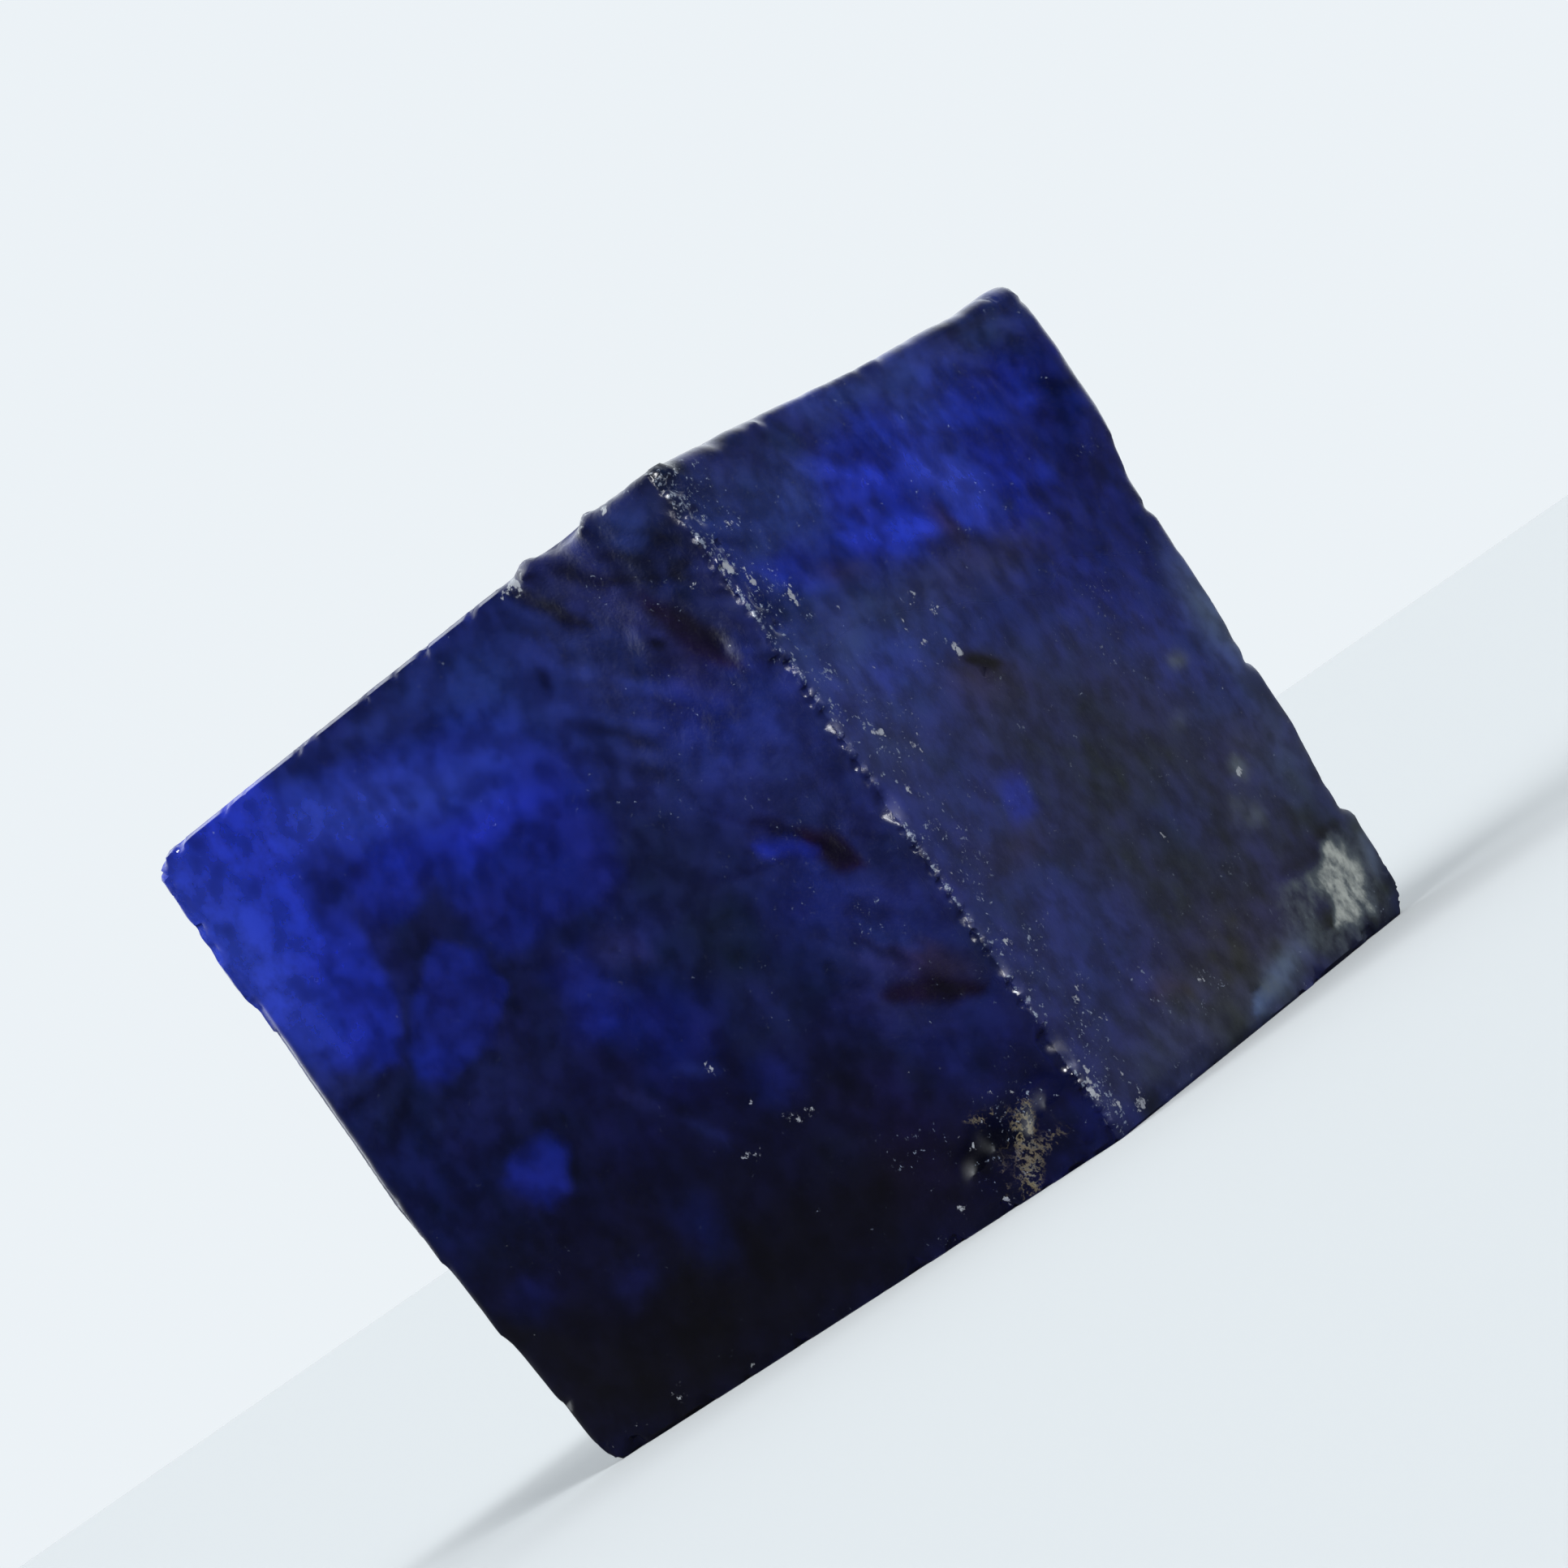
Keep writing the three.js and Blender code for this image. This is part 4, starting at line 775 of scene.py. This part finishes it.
def frosted(points, at):
    """How matt the surface is: hazy low on the right side, glossy on the front, matt on the other faces."""
    hazy = 1 - 0.75 * smooth(11.5, 18.5, at.z + 0.15 * at.y + noise(points, 2.5, 77))
    hidden = 0.8 + 0.3 * noise(points, 2.0, 78) + 0.8 * (at.side == TOP)
    frost = np.where(at.right, hazy, np.where(at.front, 0.4 * at.rugged, hidden))
    return frost + 0.3 * smooth(0.9, 0.3, at.near_edge)


def weathered(piece):
    """Wears the surface in code, paints it and marks where the crust, the specks and the frost lie."""
    mesh = piece.data
    points, normals = vectors(mesh, "co") / MM, vectors(mesh, "normal")
    at = located(points, normals)
    points = worn(points, normals, at)
    mesh.vertices.foreach_set("co", (points * MM).astype(np.float32).ravel())

    warp = np.stack([0.3 * noise(points, 1.7, 21) + 0.16 * noise(points, 0.6, 22),
                     0.3 * noise(points, 1.7, 23) + 0.16 * noise(points, 0.6, 24)])
    colours = np.concatenate([coloured(points, at, warp), np.ones((len(points), 1))], axis=1)
    tint = mesh.attributes.new("tint", "FLOAT_COLOR", "POINT")
    tint.data.foreach_set("color", colours.astype(np.float32).ravel())

    front_u, right_u = at.x + FRONT_SHIFT, at.y + RIGHT_SHIFT
    on_front, on_right = (front_u + warp[0], at.z + warp[1]), (right_u + warp[0], at.z + warp[1])
    masks = {
        "grains": (at.front * grained(front_u, at.z, FRONT_GRAINS)
                   + at.right * grained(right_u, at.z, RIGHT_GRAINS)),
        # The specks are dust, and a chain of painted glints along the near edge.
        "specks": speckled(points, at),
        "bruise": at.right * strongest(*on_right, BRUISE) * (1 - strongest(*on_right, BRUISE_GAPS)),
        "crust": at.front * strongest(*on_front, CRUST),
        "rugged": at.rugged,
        "frost": frosted(points, at),
    }
    for name, values in masks.items():
        mask = mesh.attributes.new(name, "FLOAT", "POINT")
        mask.data.foreach_set("value", values.astype(np.float32))
    mesh.shade_smooth()
    mesh.set_sharp_from_angle(angle=math.radians(CREASE))
    mesh.update()


def add_node(tree, kind, inputs=(), **settings):
    """A new node with its settings made and its inputs filled from values or other nodes' outputs."""
    made = tree.nodes.new(kind)
    for name, value in settings.items():
        setattr(made, name, value)
    for name, value in dict(inputs).items():
        if isinstance(value, bpy.types.NodeSocket):
            tree.links.new(value, made.inputs[name])
        else:
            made.inputs[name].default_value = value
    return made


def ranged(tree, value, from_low, from_high, to_low, to_high):
    """A value carried smoothly from one range to another."""
    ranges = {"Value": value, "From Min": from_low, "From Max": from_high,
              "To Min": to_low, "To Max": to_high}
    return add_node(tree, "ShaderNodeMapRange", ranges, interpolation_type="SMOOTHSTEP").outputs[0]


def mixed(tree, part, under, over):
    """Colour over laid on colour under by the given part."""
    return add_node(tree, "ShaderNodeMix", {0: part, 6: under, 7: over}, data_type="RGBA").outputs[2]


def computed(tree, operation, *values):
    return add_node(tree, "ShaderNodeMath", dict(enumerate(values)), operation=operation).outputs[0]


def scaled(tree, vector, scale):
    return add_node(tree, "ShaderNodeVectorMath", {0: vector, "Scale": scale}, operation="SCALE").outputs[0]


def noisy(tree, place, scale, detail, roughness):
    """A cloudy pattern."""
    settings = {"Vector": place, "Scale": scale, "Detail": detail, "Roughness": roughness}
    return add_node(tree, "ShaderNodeTexNoise", settings).outputs


def stored(tree, name, output="Fac"):
    """What the mesh holds under that name."""
    return add_node(tree, "ShaderNodeAttribute", attribute_name=name).outputs[output]


def scattered(tree, place, mask, cells, cover):
    """Grains, at most one in each cell: more of them, and larger ones, where the mask is stronger."""
    cell = add_node(tree, "ShaderNodeTexVoronoi", {"Vector": place, "Scale": cells})
    chance = computed(tree, "SUBTRACT", mask, cell.outputs["Color"])
    inside = computed(tree, "SUBTRACT", chance, cell.outputs["Distance"])
    return ranged(tree, inside, -0.28, 0.02, 0.0, cover)


def opaque(colour):
    return (*colour, 1)


def crystal_colour(tree, place, fine):
    """The stone's paint, under an earthy, stringy crust, a bruise of broken crystal, specks and grains."""
    cloud = noisy(tree, place, 1.1, 4, 0.55)["Fac"]
    clump = noisy(tree, place, 2.2, 5, 0.7)["Fac"]
    colour = scaled(tree, stored(tree, "tint", "Color"), ranged(tree, cloud, 0.3, 0.7, 0.65, 1.35))

    uneven = computed(tree, "MULTIPLY", computed(tree, "SUBTRACT", clump, 0.5), 1.6)
    string = computed(tree, "MULTIPLY", computed(tree, "ABSOLUTE", uneven), 7.5)
    crumbs = computed(tree, "ADD", computed(tree, "SUBTRACT", stored(tree, "crust"), string), fine["Fac"])
    earth = mixed(tree, ranged(tree, clump, 0.5, 0.58, 0.0, 1.0), opaque(GOLD), opaque(PALE))
    colour = mixed(tree, ranged(tree, crumbs, 0.6, 1.5, 0.0, 0.85), colour, earth)

    bruise = stored(tree, "bruise")
    veil = computed(tree, "MULTIPLY", computed(tree, "SUBTRACT", cloud, 0.5), 1.2)
    veil = computed(tree, "ADD", computed(tree, "MULTIPLY", uneven, 0.5), veil)
    veil = computed(tree, "MULTIPLY", veil, computed(tree, "POWER", bruise, 0.5))
    broken = computed(tree, "ADD", bruise, veil)
    colour = mixed(tree, ranged(tree, broken, 0.1, 0.75, 0.0, 0.9), colour, opaque(FROST))
    colour = mixed(tree, ranged(tree, broken, 0.55, 1.2, 0.0, 1.0), colour, opaque(PALE))

    wobble = add_node(tree, "ShaderNodeVectorMath", {0: fine["Color"], 1: (GRAIN_WOBBLE,) * 3, 2: place},
                      operation="MULTIPLY_ADD").outputs[0]
    # The specks: dust over the faces, and along the near edge a chain of painted glints.
    specks = scattered(tree, wobble, stored(tree, "specks"), SPECK_CELLS, GRAIN_COVER)
    grains = scattered(tree, wobble, stored(tree, "grains"), GRAIN_CELLS, GRAIN_COVER)
    return mixed(tree, grains, mixed(tree, specks, colour, opaque(FROST_LIGHT)), opaque(WHITE))


def crystal():
    """The blue crystal: see-through and absorbing, with a painted, grainy and partly frosted surface."""
    material = bpy.data.materials.new("crystal")
    material.use_nodes = True
    tree = material.node_tree
    shader = tree.nodes["Principled BSDF"]
    shader.inputs["IOR"].default_value = REFRACTIVE_INDEX
    shader.inputs["Transmission Weight"].default_value = SEE_THROUGH
    shader.inputs["Specular IOR Level"].default_value = SPECULAR_LEVEL
    place = scaled(tree, add_node(tree, "ShaderNodeTexCoord").outputs["Object"], 1 / MM)
    fine = noisy(tree, place, 4.5, 5, 0.65)
    tree.links.new(crystal_colour(tree, place, fine), shader.inputs["Base Color"])

    rough = ranged(tree, stored(tree, "frost"), 0.0, 2.0, *ROUGHNESS)
    tree.links.new(rough, shader.inputs["Roughness"])
    coarse = ranged(tree, stored(tree, "rugged"), 0.0, 1.0, 0.05, 1.0)
    height = computed(tree, "MULTIPLY", fine["Fac"], coarse)
    bump = add_node(tree, "ShaderNodeBump",
                    {"Height": height, "Strength": BUMP_STRENGTH, "Distance": BUMP_DEPTH})
    tree.links.new(bump.outputs[0], shader.inputs["Normal"])

    absorb = add_node(tree, "ShaderNodeVolumeAbsorption",
                      {"Color": ABSORBED_COLOUR, "Density": ABSORBED_DENSITY})
    tree.links.new(absorb.outputs[0], tree.nodes["Material Output"].inputs["Volume"])
    return material


def build_stone(frame):
    node = frame["nodes"]["sapphire"]
    piece = meshed(node)
    weathered(piece)
    piece.data.materials.clear()
    piece.data.materials.append(crystal())
    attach(piece, "root")
    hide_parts("sapphire")


def shown_or_lit(tree, lit, shown):
    """A shader that the camera sees in one way and that the stone is lit by in another."""
    seen = add_node(tree, "ShaderNodeLightPath").outputs["Is Camera Ray"]
    return add_node(tree, "ShaderNodeMixShader", {0: seen, 1: lit.outputs[0], 2: shown.outputs[0]}).outputs[0]


def build_sky():
    """A surround that the camera sees plain and pale. Its glow on the stone is strong only from behind."""
    world = bpy.data.worlds.new("surround")
    bpy.context.scene.world = world
    world.use_nodes = True
    tree = world.node_tree
    tree.nodes.clear()
    way = add_node(tree, "ShaderNodeTexCoord").outputs["Generated"]
    lean = add_node(tree, "ShaderNodeVectorMath", {0: way, 1: BRIGHT_SIDE}, operation="DOT_PRODUCT")
    strength = ranged(tree, lean.outputs["Value"], GLOW_STARTS, GLOW_FULL, SKY_IN_FRONT, SKY_BEHIND)
    glow = add_node(tree, "ShaderNodeBackground", {"Color": PALE_SKY, "Strength": strength})
    plain = add_node(tree, "ShaderNodeBackground", {"Color": PALE_SKY, "Strength": 1.0})
    add_node(tree, "ShaderNodeOutputWorld", {"Surface": shown_or_lit(tree, glow, plain)})


def build_floor():
    """A wide, plain, pale floor. It throws little light at the stone, as the dark pebbles round it did."""
    mesh = bpy.data.meshes.new("floor")
    surface = bmesh.new()
    bmesh.ops.create_circle(surface, cap_ends=True, segments=96, radius=FLOOR_RADIUS)
    surface.to_mesh(mesh)
    surface.free()
    floor = bpy.data.objects.new("floor", mesh)
    bpy.context.scene.collection.objects.link(floor)
    material = bpy.data.materials.new("floor")
    material.use_nodes = True
    tree = material.node_tree
    tree.nodes.clear()
    pale = add_node(tree, "ShaderNodeBsdfDiffuse", {"Color": PALE_FLOOR})
    dim = add_node(tree, "ShaderNodeBsdfDiffuse", {"Color": DIM_FLOOR})
    add_node(tree, "ShaderNodeOutputMaterial", {"Surface": shown_or_lit(tree, dim, pale)})
    mesh.materials.append(material)


def add_light(name, toward, strength, softness, shines):
    """A soft light that comes evenly from one direction. One that doesn't shine shows in no reflection."""
    light = bpy.data.lights.new(name, "SUN")
    light.energy = strength
    light.angle = math.radians(softness)
    holder = bpy.data.objects.new(name, light)
    holder.location = Vector(toward)
    holder.rotation_mode = "QUATERNION"
    holder.rotation_quaternion = (-Vector(toward)).to_track_quat("-Z", "Y")
    holder.visible_glossy = shines
    holder.visible_transmission = shines
    bpy.context.scene.collection.objects.link(holder)


def build_camera():
    azimuth = math.radians(CAMERA_AZIMUTH)
    elevation = math.radians(CAMERA_ELEVATION)
    back = Vector((math.sin(azimuth) * math.cos(elevation),
                   -math.cos(azimuth) * math.cos(elevation),
                   math.sin(elevation)))
    data = bpy.data.cameras.new("camera")
    data.lens = LENS
    data.sensor_width = SENSOR
    data.clip_start = NEAREST_SEEN
    data.clip_end = FARTHEST_SEEN
    camera = bpy.data.objects.new("camera", data)
    camera.location = CAMERA_AIM + back * CAMERA_DISTANCE
    camera.rotation_mode = "QUATERNION"
    roll = Quaternion(-back, math.radians(CAMERA_ROLL))
    camera.rotation_quaternion = roll @ (-back).to_track_quat("-Z", "Y")
    bpy.context.scene.collection.objects.link(camera)
    bpy.context.scene.camera = camera


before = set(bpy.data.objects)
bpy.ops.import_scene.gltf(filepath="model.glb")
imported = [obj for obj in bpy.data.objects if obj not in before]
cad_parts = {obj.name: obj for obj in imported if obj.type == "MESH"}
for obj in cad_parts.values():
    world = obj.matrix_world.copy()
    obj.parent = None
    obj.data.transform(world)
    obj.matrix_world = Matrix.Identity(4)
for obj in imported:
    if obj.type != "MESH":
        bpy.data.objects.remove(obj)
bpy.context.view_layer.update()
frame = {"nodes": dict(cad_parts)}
bpy.context.scene.view_settings.view_transform = "Standard"
build_camera()
build_sky()
build_floor()
for light in LIGHTS:
    add_light(*light)
build_stone(frame)
